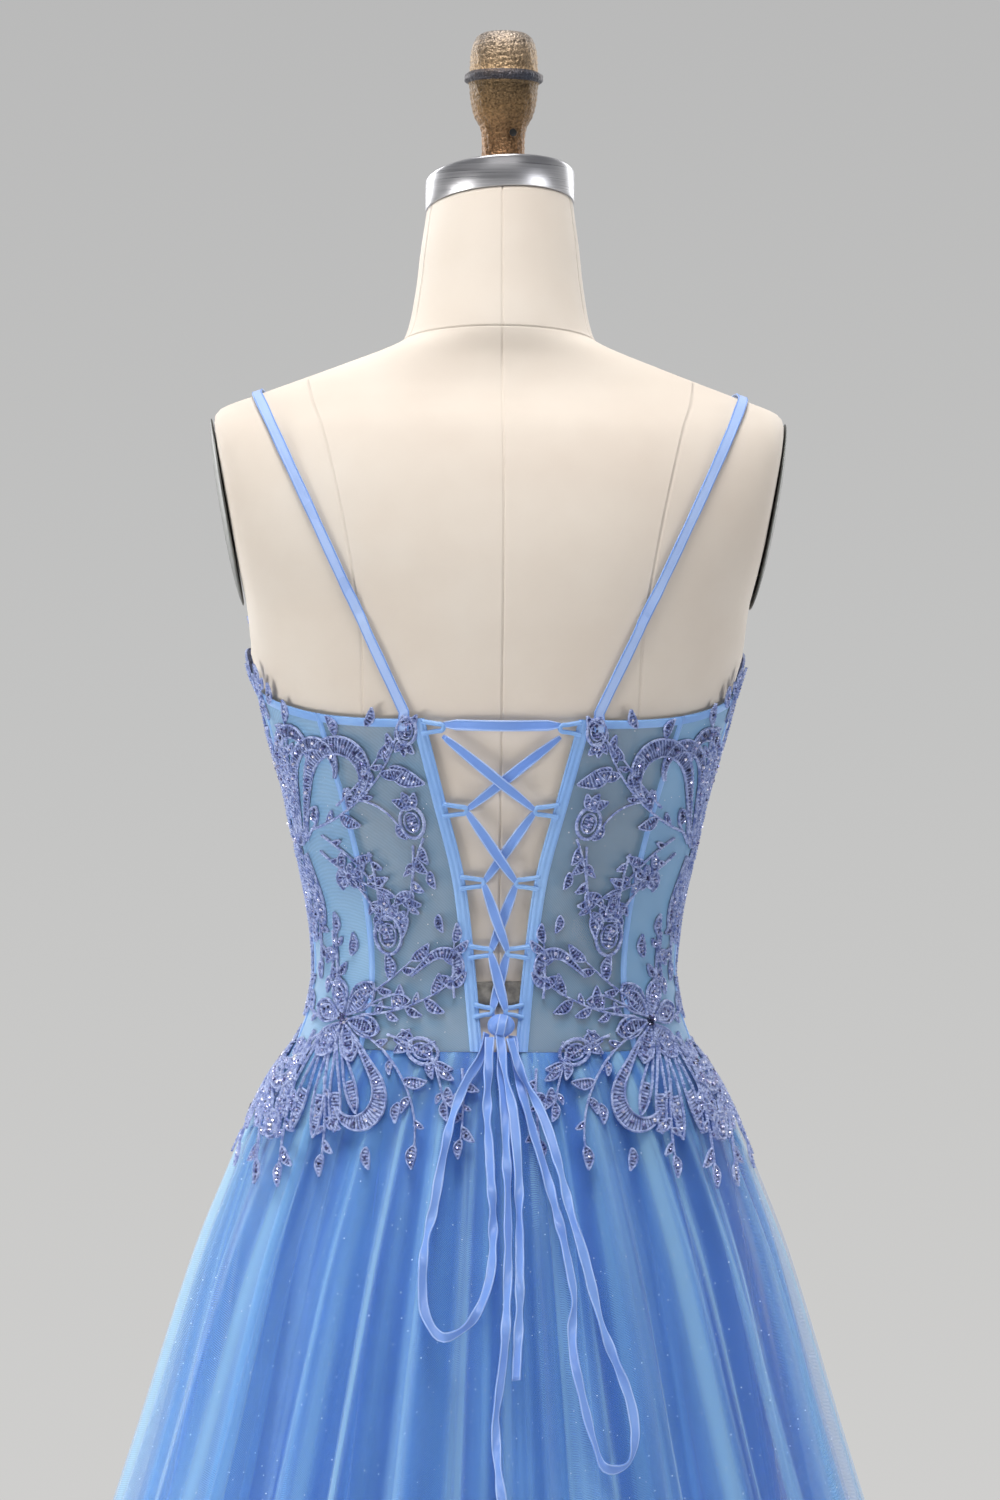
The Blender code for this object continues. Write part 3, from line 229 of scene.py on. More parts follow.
BASE_ROWS = (
    (0.001, 0.0), (0.200, 0.000), (0.2035, 0.0015), (0.2050, 0.0045), (0.2045, 0.0080), (0.2000, 0.0112),
    (0.1900, 0.0135), (0.1500, 0.0160), (0.1000, 0.0188), (0.0650, 0.0210), (0.0520, 0.0235),
    (0.0400, 0.0295), (0.0330, 0.0335), (0.0300, 0.0340), (0.001, 0.0340),
)
BASE_TOP_Z = 0.034
POLE_RADIUS = 0.016
FORM_BOTTOM_Z = 0.800
FLANGE_RADIUS = 0.045
FLANGE_HEIGHT = 0.006


# Reading a table
def hermite(low, high, slope_low, slope_high, share):
    square = share * share
    cube = square * share
    ends = low * (2 * cube - 3 * square + 1) + high * (3 * square - 2 * cube)
    return ends + slope_low * (cube - 2 * square + share) + slope_high * (cube - square)


def read_row(rows, key):
    """The row's values at a key between two rows, on a smooth curve through all the rows."""
    ordered = rows[::-1] if rows[0][0] > rows[-1][0] else rows
    key = min(max(key, ordered[0][0]), ordered[-1][0])
    place = 0
    while place < len(ordered) - 2 and ordered[place + 1][0] < key:
        place += 1
    low, high = ordered[place], ordered[place + 1]
    before = ordered[place - 1] if place > 0 else low
    after = ordered[place + 2] if place + 2 < len(ordered) else high
    width = high[0] - low[0]
    share = (key - low[0]) / width
    values = []
    for column in range(1, len(low)):
        slope_low = (high[column] - before[column]) / (high[0] - before[0]) * width
        slope_high = (after[column] - low[column]) / (after[0] - low[0]) * width
        values.append(hermite(low[column], high[column], slope_low, slope_high, share))
    return values


def fine_table(rows, steps=1200):
    """The same curve read at many small steps, for quick reading of whole arrays."""
    first, last = sorted((rows[0][0], rows[-1][0]))
    keys = np.linspace(first, last, steps)
    return keys, np.array([read_row(rows, key) for key in keys])


def column(table, keys, number):
    return np.interp(keys, table[0], table[1][:, number])


FORM = fine_table(FORM_ROWS)
TULLE = fine_table(TULLE_ROWS)
LINING = fine_table(LINING_ROWS)
EDGE = fine_table(TOP_EDGE)
OPENING = fine_table(OPENING_ROWS)
SEAMS = fine_table(SEAM_ROWS)
FINIAL = fine_table(FINIAL_ROWS, 600)


# Surfaces of the form and the dress; turns and heights are arrays or numbers
def wrap(turn):
    return np.arctan2(np.sin(turn), np.cos(turn))


def skin_radius(turn, z):
    half_width, back, front, squareness = (column(FORM, z, number) for number in range(4))
    turn = wrap(turn)
    across = np.abs(np.sin(turn)) / half_width
    along = np.abs(np.cos(turn)) / np.where(np.cos(turn) > 0, back, front)
    away = (np.abs(np.degrees(turn)) - BUST_TURN) / BUST_SPREAD
    height = (z - BUST_Z) / np.where(np.asarray(z) > BUST_Z, BUST_ABOVE, BUST_BELOW)
    bust = BUST_RISE * np.exp(-away ** 2 - height ** 2)
    return (across ** squareness + along ** squareness) ** (-1 / squareness) + bust


def growth(table, turn, z):
    side, back, front = (column(table, z, number) for number in range(3))
    middle = np.where(np.cos(turn) > 0, back, front)
    return side * np.sin(turn) ** 2 + middle * np.cos(turn) ** 2


def dress_radius(turn, z):
    z = np.asarray(z, dtype=float)
    below = z < SEAM_Z
    return skin_radius(turn, np.maximum(z, SEAM_Z)) + np.where(below, growth(TULLE, turn, z), 0.0)


def lining_radius(turn, z):
    wave = column(LINING, z, 3) * (0.5 - 0.5 * np.cos(LINING_WAVES * turn))
    return skin_radius(turn, SEAM_Z) + growth(LINING, turn, z) - wave


def surface(radius_of, turn, z, out):
    """Points of level sections, moved out square to each section, as an array of rows x, y, z."""
    turn, z, out = np.broadcast_arrays(np.asarray(turn, float), np.asarray(z, float), np.asarray(out, float))
    small = 0.002
    here = radius_of(turn, z)
    slope = (radius_of(turn + small, z) - radius_of(turn - small, z)) / (2 * small)
    outward = np.stack([np.sin(turn), -np.cos(turn)], -1)
    along = np.stack([np.cos(turn), np.sin(turn)], -1)
    normal = outward * here[..., None] - along * slope[..., None]
    normal /= np.linalg.norm(normal, axis=-1, keepdims=True)
    flat = outward * here[..., None] + normal * out[..., None]
    return np.concatenate([flat, z[..., None]], -1)


def skin(turn, z, out=0.0):
    return surface(skin_radius, turn, z, out)


def dress(turn, z, out=0.0):
    """Points out of the solids' outside: over the bodice wall or the ridges of the skirt."""
    cloth = np.where(np.asarray(z) >= SEAM_Z, BODICE_OUT, TULLE_OUT)
    return surface(dress_radius, turn, z, out + cloth)


def turn_at(x, z, radius_of=skin_radius):
    """The turn at the back where the section has this x."""
    low, high = -math.pi / 2, math.pi / 2
    for _ in range(36):
        middle = (low + high) / 2
        if radius_of(middle, z) * math.sin(middle) < x:
            low = middle
        else:
            high = middle
    return (low + high) / 2


def top_edge(turn):
    return column(EDGE, np.abs(np.degrees(wrap(turn))), 0)


def bodice_z(turn, share):
    return SEAM_Z + share * (top_edge(turn) - SEAM_Z)


def smooth_route(route, step):
    """Points a step apart on a smooth curve through the route's own points."""
    fine = []
    route = [np.array(point, float) for point in route]
    for place in range(len(route) - 1):
        low, high = route[place], route[place + 1]
        before = route[place - 1] if place > 0 else low
        after = route[place + 2] if place + 2 < len(route) else high
        for tenth in range(10):
            fine.append(hermite(low, high, (high - before) / 2, (after - low) / 2, tenth / 10))
    fine.append(route[-1])
    return even_points(np.array(fine), step)


def even_points(points, step):
    """The same line with its points an even step apart."""
    stretches = np.linalg.norm(np.diff(points, axis=0), axis=1)
    walked = np.concatenate([[0.0], np.cumsum(stretches)])
    count = max(2, round(walked[-1] / step))
    places = np.linspace(0, walked[-1], count + 1)
    return np.stack([np.interp(places, walked, points[:, axis]) for axis in range(points.shape[1])], -1)


# Making pieces
def piece(name, points, faces, looks, replaced=(), slots=None):
    """A mesh piece on the body; slots gives each face its look's place in looks."""
    mesh = bpy.data.meshes.new(name)
    points = np.asarray(points, dtype=float).reshape(-1, 3)
    mesh.from_pydata(points.tolist(), [], [tuple(int(i) for i in face) for face in faces])
    for look in looks:
        mesh.materials.append(look)
    if slots is not None:
        mesh.polygons.foreach_set("material_index", np.asarray(slots, dtype=np.int32))
    mesh.polygons.foreach_set("use_smooth", np.full(len(mesh.polygons), True))
    mesh.update()
    placed = bpy.data.objects.new(name, mesh)
    scene.collection.objects.link(placed)
    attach(placed, "root")
    if replaced:
        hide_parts(*replaced)
    return placed


def grid_faces(rows, columns, closed=False, start=0):
    """Quads of a grid of points given row by row; closed joins the last column to the first."""
    across = columns if closed else columns - 1
    row, place = np.meshgrid(np.arange(rows - 1), np.arange(across), indexing="ij")
    after = (place + 1) % columns
    this_row, next_row = row * columns, (row + 1) * columns
    corners = (this_row + place, this_row + after, next_row + after, next_row + place)
    return start + np.stack(corners, -1).reshape(-1, 4)


def capped_faces(rows, columns):
    """Quads of rings joined into a tube, with its first and its last ring filled."""
    faces = grid_faces(rows, columns, closed=True).tolist()
    faces.append(list(range(columns))[::-1])
    faces.append(list(range((rows - 1) * columns, rows * columns)))
    return faces


def swept(points, across, upward, profile):
    """Points and faces of closed profiles, one at each point of a line."""
    rings = points[:, None] + across[:, None] * profile[..., :1] + upward[:, None] * profile[..., 1:]
    return rings.reshape(-1, 3), capped_faces(len(points), profile.shape[1])


def unit(vectors):
    return vectors / np.maximum(np.linalg.norm(vectors, axis=-1, keepdims=True), 1e-12)


def directions(points):
    return unit(np.gradient(points, axis=0))


def lathe(rows, segments, centre=(0.0, 0.0), tilt=0.0, tilt_z=0.0):
    """Points and faces of a turned shape from its rows of radius and z."""
    angle = np.linspace(0, math.tau, segments, endpoint=False)
    rows = np.asarray(rows, float)
    x = rows[:, :1] * np.cos(angle)
    y = rows[:, :1] * np.sin(angle)
    z = rows[:, 1:] - y * math.tan(math.radians(tilt)) + tilt_z
    points = np.stack([x + centre[0], y + centre[1], z], -1).reshape(-1, 3)
    return points, capped_faces(len(rows), segments)


# Materials
def new_look(name, roughness=0.6, metallic=0.0, **values):
    look = bpy.data.materials.new(name)
    look.use_nodes = True
    tree = look.node_tree
    shader = tree.nodes["Principled BSDF"]
    shader.inputs["Roughness"].default_value = roughness
    shader.inputs["Metallic"].default_value = metallic
    for key, value in values.items():
        shader.inputs[key].default_value = value
    return look, tree, shader


def place_node(tree, scale=(1, 1, 1)):
    coordinates = tree.nodes.new("ShaderNodeTexCoord")
    mapping = tree.nodes.new("ShaderNodeMapping")
    mapping.inputs["Scale"].default_value = scale
    tree.links.new(coordinates.outputs["Object"], mapping.inputs["Vector"])
    return mapping.outputs["Vector"]


def noise_node(tree, place, scale, detail=3.0, roughness=0.5):
    made = tree.nodes.new("ShaderNodeTexNoise")
    made.inputs["Scale"].default_value = scale
    made.inputs["Detail"].default_value = detail
    made.inputs["Roughness"].default_value = roughness
    tree.links.new(place, made.inputs["Vector"])
    return made.outputs["Fac"]


def ramp_node(tree, factor, stops):
    made = tree.nodes.new("ShaderNodeValToRGB")
    ramp = made.color_ramp
    ramp.elements[0].position, ramp.elements[0].color = stops[0][0], (*stops[0][1], 1.0)
    ramp.elements[1].position, ramp.elements[1].color = stops[-1][0], (*stops[-1][1], 1.0)
    for position, color in stops[1:-1]:
        ramp.elements.new(position).color = (*color, 1.0)
    tree.links.new(factor, made.inputs["Fac"])
    return made.outputs["Color"]


def range_node(tree, factor, low, high, from_low=0.3, from_high=0.7):
    made = tree.nodes.new("ShaderNodeMapRange")
    for name, value in (("From Min", from_low), ("From Max", from_high), ("To Min", low), ("To Max", high)):
        made.inputs[name].default_value = value
    tree.links.new(factor, made.inputs["Value"])
    return made.outputs["Result"]


def put(tree, value, socket):
    """Links an output into the socket, or sets a plain number or colour on it."""
    if isinstance(value, bpy.types.NodeSocket):
        tree.links.new(value, socket)
    else:
        socket.default_value = value


def math_node(tree, operation, first, second):
    made = tree.nodes.new("ShaderNodeMath")
    made.operation = operation
    put(tree, first, made.inputs[0])
    put(tree, second, made.inputs[1])
    return made.outputs["Value"]


def mix_node(tree, factor, first, second, blend="MIX"):
    made = tree.nodes.new("ShaderNodeMix")
    made.data_type = "RGBA"
    made.blend_type = blend
    for name, value in (("Factor", factor), ("A", first), ("B", second)):
        put(tree, value, made.inputs[name])
    return made.outputs["Result"]


def bump_node(tree, shader, height, strength, distance=0.0004):
    made = tree.nodes.new("ShaderNodeBump")
    made.inputs["Strength"].default_value = strength
    made.inputs["Distance"].default_value = distance
    tree.links.new(height, made.inputs["Height"])
    tree.links.new(made.outputs["Normal"], shader.inputs["Normal"])


def threads_node(tree, place, count, direction="Z", bend=0.6):
    """Fine parallel threads: bands at count to the metre, a little uneven."""
    made = tree.nodes.new("ShaderNodeTexWave")
    made.wave_type = "BANDS"
    made.bands_direction = direction
    made.inputs["Scale"].default_value = count / 3.2
    made.inputs["Distortion"].default_value = bend
    made.inputs["Detail"].default_value = 1.0
    tree.links.new(place, made.inputs["Vector"])
    return made.outputs["Fac"]


def linen_look():
    look, tree, shader = new_look("form_linen", 0.78, **{"Sheen Weight": 0.15, "Sheen Roughness": 0.5})
    place = place_node(tree)
    patches = noise_node(tree, place, 7.0, 4.0)
    stops = [(0.3, (0.72, 0.63, 0.54)), (0.5, (0.77, 0.69, 0.60)), (0.7, (0.81, 0.745, 0.665))]
    color = ramp_node(tree, patches, stops)
    tree.links.new(color, shader.inputs["Base Color"])
    weave = math_node(tree, "ADD", threads_node(tree, place, 1500, "Z"), threads_node(tree, place, 1500, "X"))
    bump_node(tree, shader, weave, 0.25, 0.00015)
    return look


def tape_look():
    look, tree, shader = new_look("waist_tape", 0.8)
    place = place_node(tree)
    stops = [(0.35, (0.16, 0.15, 0.135)), (0.65, (0.30, 0.285, 0.255))]
    tree.links.new(ramp_node(tree, noise_node(tree, place, 180.0, 4.0), stops), shader.inputs["Base Color"])
    bump_node(tree, shader, noise_node(tree, place, 260.0, 3.0), 0.8, 0.001)
    return look


def metal_look(name, low, high, roughness, stretch, scale, bump=0.1, metallic=1.0, distance=0.0003):
    look, tree, shader = new_look(name, roughness, metallic)
    place = place_node(tree, stretch)
    grain = noise_node(tree, place, scale, 4.0)
    tree.links.new(ramp_node(tree, grain, [(0.3, low), (0.7, high)]), shader.inputs["Base Color"])
    tree.links.new(range_node(tree, grain, roughness * 0.8, roughness * 1.25), shader.inputs["Roughness"])
    bump_node(tree, shader, grain, bump, distance)
    return look


def finial_look():
    look, tree, shader = new_look("aged_gold", 0.40, 0.75)
    place = place_node(tree)
    cells = noise_node(tree, place, 620.0, 2.0, 0.5)
    patches = noise_node(tree, place, 45.0, 3.0)
    height = tree.nodes.new("ShaderNodeSeparateXYZ")
    tree.links.new(place, height.inputs["Vector"])
    stops = [
        (0.0, (0.30, 0.165, 0.085)), (0.45, (0.20, 0.125, 0.060)), (0.66, (0.15, 0.105, 0.058)),
        (0.70, (0.33, 0.23, 0.13)), (0.86, (0.34, 0.26, 0.18)), (1.0, (0.36, 0.32, 0.29)),
    ]
    risen = range_node(tree, height.outputs["Z"], 0.0, 1.0, FINIAL_FOOT_Z, FINIAL_TOP_Z)
    gold = ramp_node(tree, risen, stops)
    # Colour follows the fine relief: darker on its low cells and brighter on its high ones, with coarse
    # patches mixed in
    fine, coarse = math_node(tree, "MULTIPLY", cells, 0.7), math_node(tree, "MULTIPLY", patches, 0.3)
    relief_tone_stops = [(0.36, (0.50, 0.48, 0.46)), (0.50, (0.95, 0.93, 0.9)), (0.64, (1.45, 1.38, 1.28))]
    relief_tone = ramp_node(tree, math_node(tree, "ADD", fine, coarse), relief_tone_stops)
    relief_toned_gold = mix_node(tree, 1.0, gold, relief_tone, "MULTIPLY")
    collar = math_node(tree, "COMPARE", height.outputs["Z"], COLLAR_Z)
    collar.node.inputs[2].default_value = COLLAR_HALF_HEIGHT
    share = math_node(tree, "MULTIPLY", collar, range_node(tree, patches, 1.0, 0.8))
    tree.links.new(mix_node(tree, share, relief_toned_gold, (0.05, 0.055, 0.075, 1.0)), shader.inputs["Base Color"])
    tree.links.new(range_node(tree, cells, 0.30, 0.50), shader.inputs["Roughness"])
    bump_node(tree, shader, cells, 0.9, 0.0016)
    return look


def satin_look(name, low, high, roughness=0.34):
    look, tree, shader = new_look(name, roughness, **{"Sheen Weight": 0.25, "Sheen Roughness": 0.3})
    place = place_node(tree)
    patches = noise_node(tree, place, 22.0, 3.0)
    tree.links.new(ramp_node(tree, patches, [(0.3, low), (0.7, high)]), shader.inputs["Base Color"])
    threads = threads_node(tree, place, 2600, "Z", 0.3)
    folds = noise_node(tree, place, 90.0, 3.0)
    relief = math_node(tree, "ADD", threads, math_node(tree, "MULTIPLY", folds, 6.0))
    bump_node(tree, shader, relief, 0.35, 0.0002)
    tree.links.new(range_node(tree, patches, roughness * 0.85, roughness * 1.2), shader.inputs["Roughness"])
    return look


def streak_node(tree, place, around, along):
    """A noise drawn out down the cloth, as many times round as the gathers it paints: painted light and shade
    of the folds, as lighter and darker streaks.
    """
    split = tree.nodes.new("ShaderNodeSeparateXYZ")
    tree.links.new(place, split.inputs["Vector"])
    flat = tree.nodes.new("ShaderNodeCombineXYZ")
    tree.links.new(split.outputs["X"], flat.inputs["X"])
    tree.links.new(split.outputs["Y"], flat.inputs["Y"])
    ring = tree.nodes.new("ShaderNodeVectorMath")
    ring.operation = "NORMALIZE"
    tree.links.new(flat.outputs["Vector"], ring.inputs[0])
    parts = tree.nodes.new("ShaderNodeSeparateXYZ")
    tree.links.new(ring.outputs["Vector"], parts.inputs["Vector"])
    joined = tree.nodes.new("ShaderNodeCombineXYZ")
    tree.links.new(parts.outputs["X"], joined.inputs["X"])
    tree.links.new(parts.outputs["Y"], joined.inputs["Y"])
    tree.links.new(math_node(tree, "MULTIPLY", split.outputs["Z"], along / around), joined.inputs["Z"])
    return noise_node(tree, joined.outputs["Vector"], around, 1.0, 0.4)


def net_look(name, low, high, cover, sparkle=0.0, gathers=0.0):
    """Sheer net or tulle: its threads cover part of each face, with fine specks where sparkle says, painted
    near white as the glints of glitter; streaks round the gathers paint the folds' light and shade into
    colour and cover.
    """
    look, tree, shader = new_look(name, 0.62, **{"Sheen Weight": 0.35, "Sheen Roughness": 0.4})
    place = place_node(tree)
    patches = noise_node(tree, place, 9.0, 3.0)
    # Along gathered tulle the colour follows painted streaks: lighter fold ridges and darker gaps between
    # them, painted light and shade
    tone_and_painted_light = streak_node(tree, place, gathers, 1.3) if gathers else patches
    color = ramp_node(tree, tone_and_painted_light, [(0.38, low), (0.66, high)])
    threads = threads_node(tree, place, 1100, "DIAGONAL", 2.0)
    fill = range_node(tree, threads, cover - 0.05, cover + 0.05, 0.0, 1.0)
    if gathers:
        # Cover follows the same streaks: partly the folds' real overlap, partly painted light and shade
        uneven = range_node(tree, tone_and_painted_light, -0.45 * cover, 0.26, 0.40, 0.72)
    else:
        uneven = range_node(tree, patches, -0.04, 0.04)
    fill = math_node(tree, "ADD", fill, uneven)
    if sparkle:
        # Glitter specks, real on the cloth, painted near white as their glints
        cells = tree.nodes.new("ShaderNodeTexVoronoi")
        cells.inputs["Scale"].default_value = 150.0
        tree.links.new(place, cells.inputs["Vector"])
        near = math_node(tree, "LESS_THAN", cells.outputs["Distance"], sparkle)
        color = mix_node(tree, near, color, (0.85, 0.92, 1.0, 1.0))
        fill = math_node(tree, "MAXIMUM", fill, math_node(tree, "MULTIPLY", near, 0.8))
    tree.links.new(color, shader.inputs["Base Color"])
    tree.links.new(fill, shader.inputs["Alpha"])
    bump_node(tree, shader, threads, 0.2, 0.0002)
    return look


def thread_look(name, low, high, roughness=0.5):
    """Twisted embroidery thread."""
    look, tree, shader = new_look(name, roughness, **{"Sheen Weight": 0.3, "Sheen Roughness": 0.35})
    place = place_node(tree)
    strands = threads_node(tree, place, 900, "DIAGONAL", 3.0)
    patches = noise_node(tree, place, 320.0, 3.0)
    tree.links.new(ramp_node(tree, patches, [(0.36, low), (0.64, high)]), shader.inputs["Base Color"])
    bump_node(tree, shader, math_node(tree, "ADD", strands, patches), 0.8, 0.0005)
    return look


def bead_look():
    look, tree, shader = new_look("bead_glass", 0.10, 0.55, **{"Coat Weight": 0.6, "Coat Roughness": 0.05})
    place = place_node(tree)
    # Each bead's colour, from dark navy to near white: the beads' own tone, with painted glints and shade of
    # their facets
    tone_and_painted_light = noise_node(tree, place, 140.0, 1.0)
    stops = [
        (0.34, (0.030, 0.035, 0.10)), (0.46, (0.16, 0.17, 0.42)),
        (0.55, (0.55, 0.56, 0.86)), (0.66, (0.92, 0.92, 1.0)),
    ]
    tree.links.new(ramp_node(tree, tone_and_painted_light, stops), shader.inputs["Base Color"])
    return look


def floor_look():
    look, tree, shader = new_look("studio_floor", 0.9)
    place = place_node(tree)
    stops = [(0.3, (0.66, 0.66, 0.655)), (0.7, (0.70, 0.70, 0.695))]
    tree.links.new(ramp_node(tree, noise_node(tree, place, 1.5, 3.0), stops), shader.inputs["Base Color"])
    return look


LINEN = linen_look()
TAPE = tape_look()
STEEL = metal_look("dark_steel_paint", (0.105, 0.110, 0.105), (0.18, 0.185, 0.175), 0.42, (1, 1, 1), 60.0,
                   0.15, 0.7)
ALUMINIUM = metal_look("brushed_aluminium", (0.46, 0.46, 0.48), (0.60, 0.60, 0.62), 0.32, (1, 1, 90), 16.0,
                       0.15, 1.0, 0.0002)
GOLD = finial_look()
HOLE = metal_look("hole_shadow", (0.006, 0.006, 0.006), (0.016, 0.015, 0.014), 0.7, (1, 1, 1), 300.0,
                  0.1, 0.0)
SATIN = satin_look("ribbon_satin", (0.155, 0.300, 0.760), (0.215, 0.390, 0.860))
# A lighter copy of the ribbon satin: a painted highlight on the ribbons' rolled edges and down the straps'
# middles
SATIN_HIGHLIGHT = satin_look("ribbon_painted_highlight", (0.36, 0.52, 0.93), (0.46, 0.62, 0.97), 0.30)
RIBBON_LOOKS = [SATIN, SATIN_HIGHLIGHT]
SATIN_PALE = satin_look("trim_satin", (0.20, 0.40, 0.82), (0.30, 0.52, 0.90), 0.36)
LINING_SATIN = satin_look("lining_satin", (0.030, 0.120, 0.520), (0.060, 0.180, 0.660), 0.42)
NET = net_look("bodice_net", (0.130, 0.300, 0.500), (0.210, 0.420, 0.660), 0.58, 0.05)
NET_SIDE = net_look("bodice_net_side", (0.210, 0.450, 0.760), (0.300, 0.560, 0.860), 0.74, 0.05)
# The last number of each tulle layer is the count of its painted fold streaks round the skirt
TULLE_LOOKS = [
    net_look("tulle_outer", (0.230, 0.510, 0.920), (0.430, 0.770, 1.000), 0.19, 0.060, 17.0),
    net_look("tulle_middle", (0.095, 0.330, 0.860), (0.250, 0.590, 0.980), 0.21, 0.050, 10.0),
    net_look("tulle_inner", (0.035, 0.170, 0.700), (0.120, 0.370, 0.900), 0.26, 0.0, 6.0),
]
# One lace thread as a lit copy and a shaded copy: cords and stitches take the lighter, the thread's colour
# with a painted highlight; the gaps between stitches take the darker, a painted shade
CORD_THREAD_HIGHLIT = thread_look("lace_cord_highlit", (0.155, 0.220, 0.540), (0.520, 0.610, 0.930))
GAP_SHADE_THREAD = thread_look("lace_stitch_gap_shade", (0.014, 0.026, 0.110), (0.165, 0.230, 0.520), 0.6)
BEAD = bead_look()
FLOOR = floor_look()


# Camera
camera_data = bpy.data.cameras.new("camera")
camera = bpy.data.objects.new("camera", camera_data)
scene.collection.objects.link(camera)
scene.camera = camera
camera_data.lens = 108.0
camera_data.sensor_width = 36.0
CAMERA_PLACE = Vector((-0.105, -3.000, 1.235))
CAMERA_AIM = Vector((0.0025, 0.0, 1.2167))
camera.location = CAMERA_PLACE
camera.rotation_mode = "QUATERNION"
CAMERA_ROLL = 0.45
straight = (CAMERA_AIM - CAMERA_PLACE).to_track_quat("-Z", "Y")
camera.rotation_quaternion = straight @ Quaternion((0, 0, 1), math.radians(CAMERA_ROLL))


# Free ribbons
def hung(route, drop):
    """A loop's route with its part under the knot drawn up and in."""
    return [(x, z, lift) if z > HANG_TOP else (x * BOW_SPREAD, HANG_TOP + (z - HANG_TOP) * drop, lift)
            for x, z, lift in route]


def ribbon_route(route):
    """The ribbon's middle line and the dress's outward direction along it, as in the solids."""
    points = []
    for x, z, lift in route:
        turn = turn_at(x, z, dress_radius)
        base, moved = dress(turn, z, 0.0), dress(turn, z, 0.001)
        points.append(base + (moved - base) * lift / 0.001)
    points = smooth_route(points, 0.018)
    fine = smooth_route(points, 0.003)
    turns = np.array([turn_at(point[0], point[2], dress_radius) for point in fine])
    outward = unit(dress(turns, fine[:, 2], 0.01) - dress(turns, fine[:, 2], 0.0))
    return points, fine, outward


def flat_ribbon(name, points, outward, widths, twists, thick, replaced, looks, crown=0.0):
    """A flat ribbon whose rolled edges take its second look, on the ribbons a lighter copy of the satin that
    is a painted highlight; twists in degrees turn it about its own line.
    """
    along = directions(points)
    side = unit(np.cross(along, outward))
    lift = unit(np.cross(side, along))
    angle = np.radians(twists)[:, None]
    across = side * np.cos(angle) + lift * np.sin(angle)
    upward = lift * np.cos(angle) - side * np.sin(angle)
    shares = np.array([-1.0, -0.86, -0.74, -0.35, 0.0, 0.35, 0.74, 0.86, 1.0])
    rolled = np.array([0.0, 0.5, 0.1, 0.0, 0.0, 0.0, 0.1, 0.5, 0.0])
    half = np.asarray(widths)[:, None] / 2
    bow = crown * (1 - shares ** 2)
    top = np.stack(np.broadcast_arrays(shares * half, thick * (0.5 + rolled) + bow), -1)
    low = np.stack(np.broadcast_arrays(shares[::-1] * half, -thick * 0.5 + bow[::-1]), -1)
    profile = np.concatenate([top, low], 1)
    spots, faces = swept(points, across, upward, profile)
    # The rolled edges' faces take the second look; with RIBBON_LOOKS that is the painted highlight
    round_slots = [1 if place in (0, 1, 6, 7) else 0 for place in range(profile.shape[1])]
    slots = round_slots * (len(points) - 1) + [0, 0]
    return piece(name, spots, faces, looks, replaced, slots)


def waves(points, parts, start=0.0):
    """A slow uneven wave along a line, from rows of size, length in metres and phase."""
    walked = np.concatenate([[0.0], np.cumsum(np.linalg.norm(np.diff(points, axis=0), axis=1))])
    return start + sum(size * np.sin(math.tau * walked / length + phase) for size, length, phase in parts)


# Free ribbons: node, route, twisting waves, twist at the start, far end
LEFT_HUNG = hung(BOW_LOOP_LEFT, DROP_LEFT)
RIGHT_HUNG = hung(BOW_LOOP_RIGHT, DROP_RIGHT)
CORDS = (
    ("bow_loop_left", LEFT_HUNG, ((34, 0.085, 0.4), (26, 0.041, 1.1)), 10.0, "object"),
    ("bow_loop_right", RIGHT_HUNG, ((36, 0.097, 2.0), (24, 0.047, 0.3)), -8.0, "object"),
    ("tail_long", TAIL_LONG, ((40, 0.110, 0.8), (22, 0.052, 2.0)), 12.0, "bare"),
    ("tail_short", TAIL_SHORT, ((38, 0.100, 2.6), (20, 0.045, 0.9)), -15.0, "bare"),
)
for name, route, parts, start, far_end in CORDS:
    path, fine, outward = ribbon_route(route)
    widths = FREE_RIBBON_WIDTH + 0.0003 * np.sin(np.arange(len(fine)) * 0.9)
    twists = waves(fine, parts, start)
    ribbon = flat_ribbon(f"{name}_satin", fine, outward, widths, twists, RIBBON_THICK, (name,), RIBBON_LOOKS)


# Form
PRINCESS_ROWS = (
    (0.800, 0.0700), (1.060, 0.0600), (1.150, 0.0740), (1.240, 0.0893), (1.290, 0.0913), (1.323, 0.0960),
    (1.373, 0.1060), (1.423, 0.1190), (1.440, 0.1250), (1.470, 0.1290), (1.579, 0.1290),
)
PRINCESS = fine_table(PRINCESS_ROWS)
NECK_LEAN = 0.065
NECK_SEAM_Z = 1.487
NECK_SEAM_DEPTH = 0.0012
FRONT_SEAM_TURN = 139.0
GROOVE = 0.0008
GROOVE_DEPTH = 0.0011


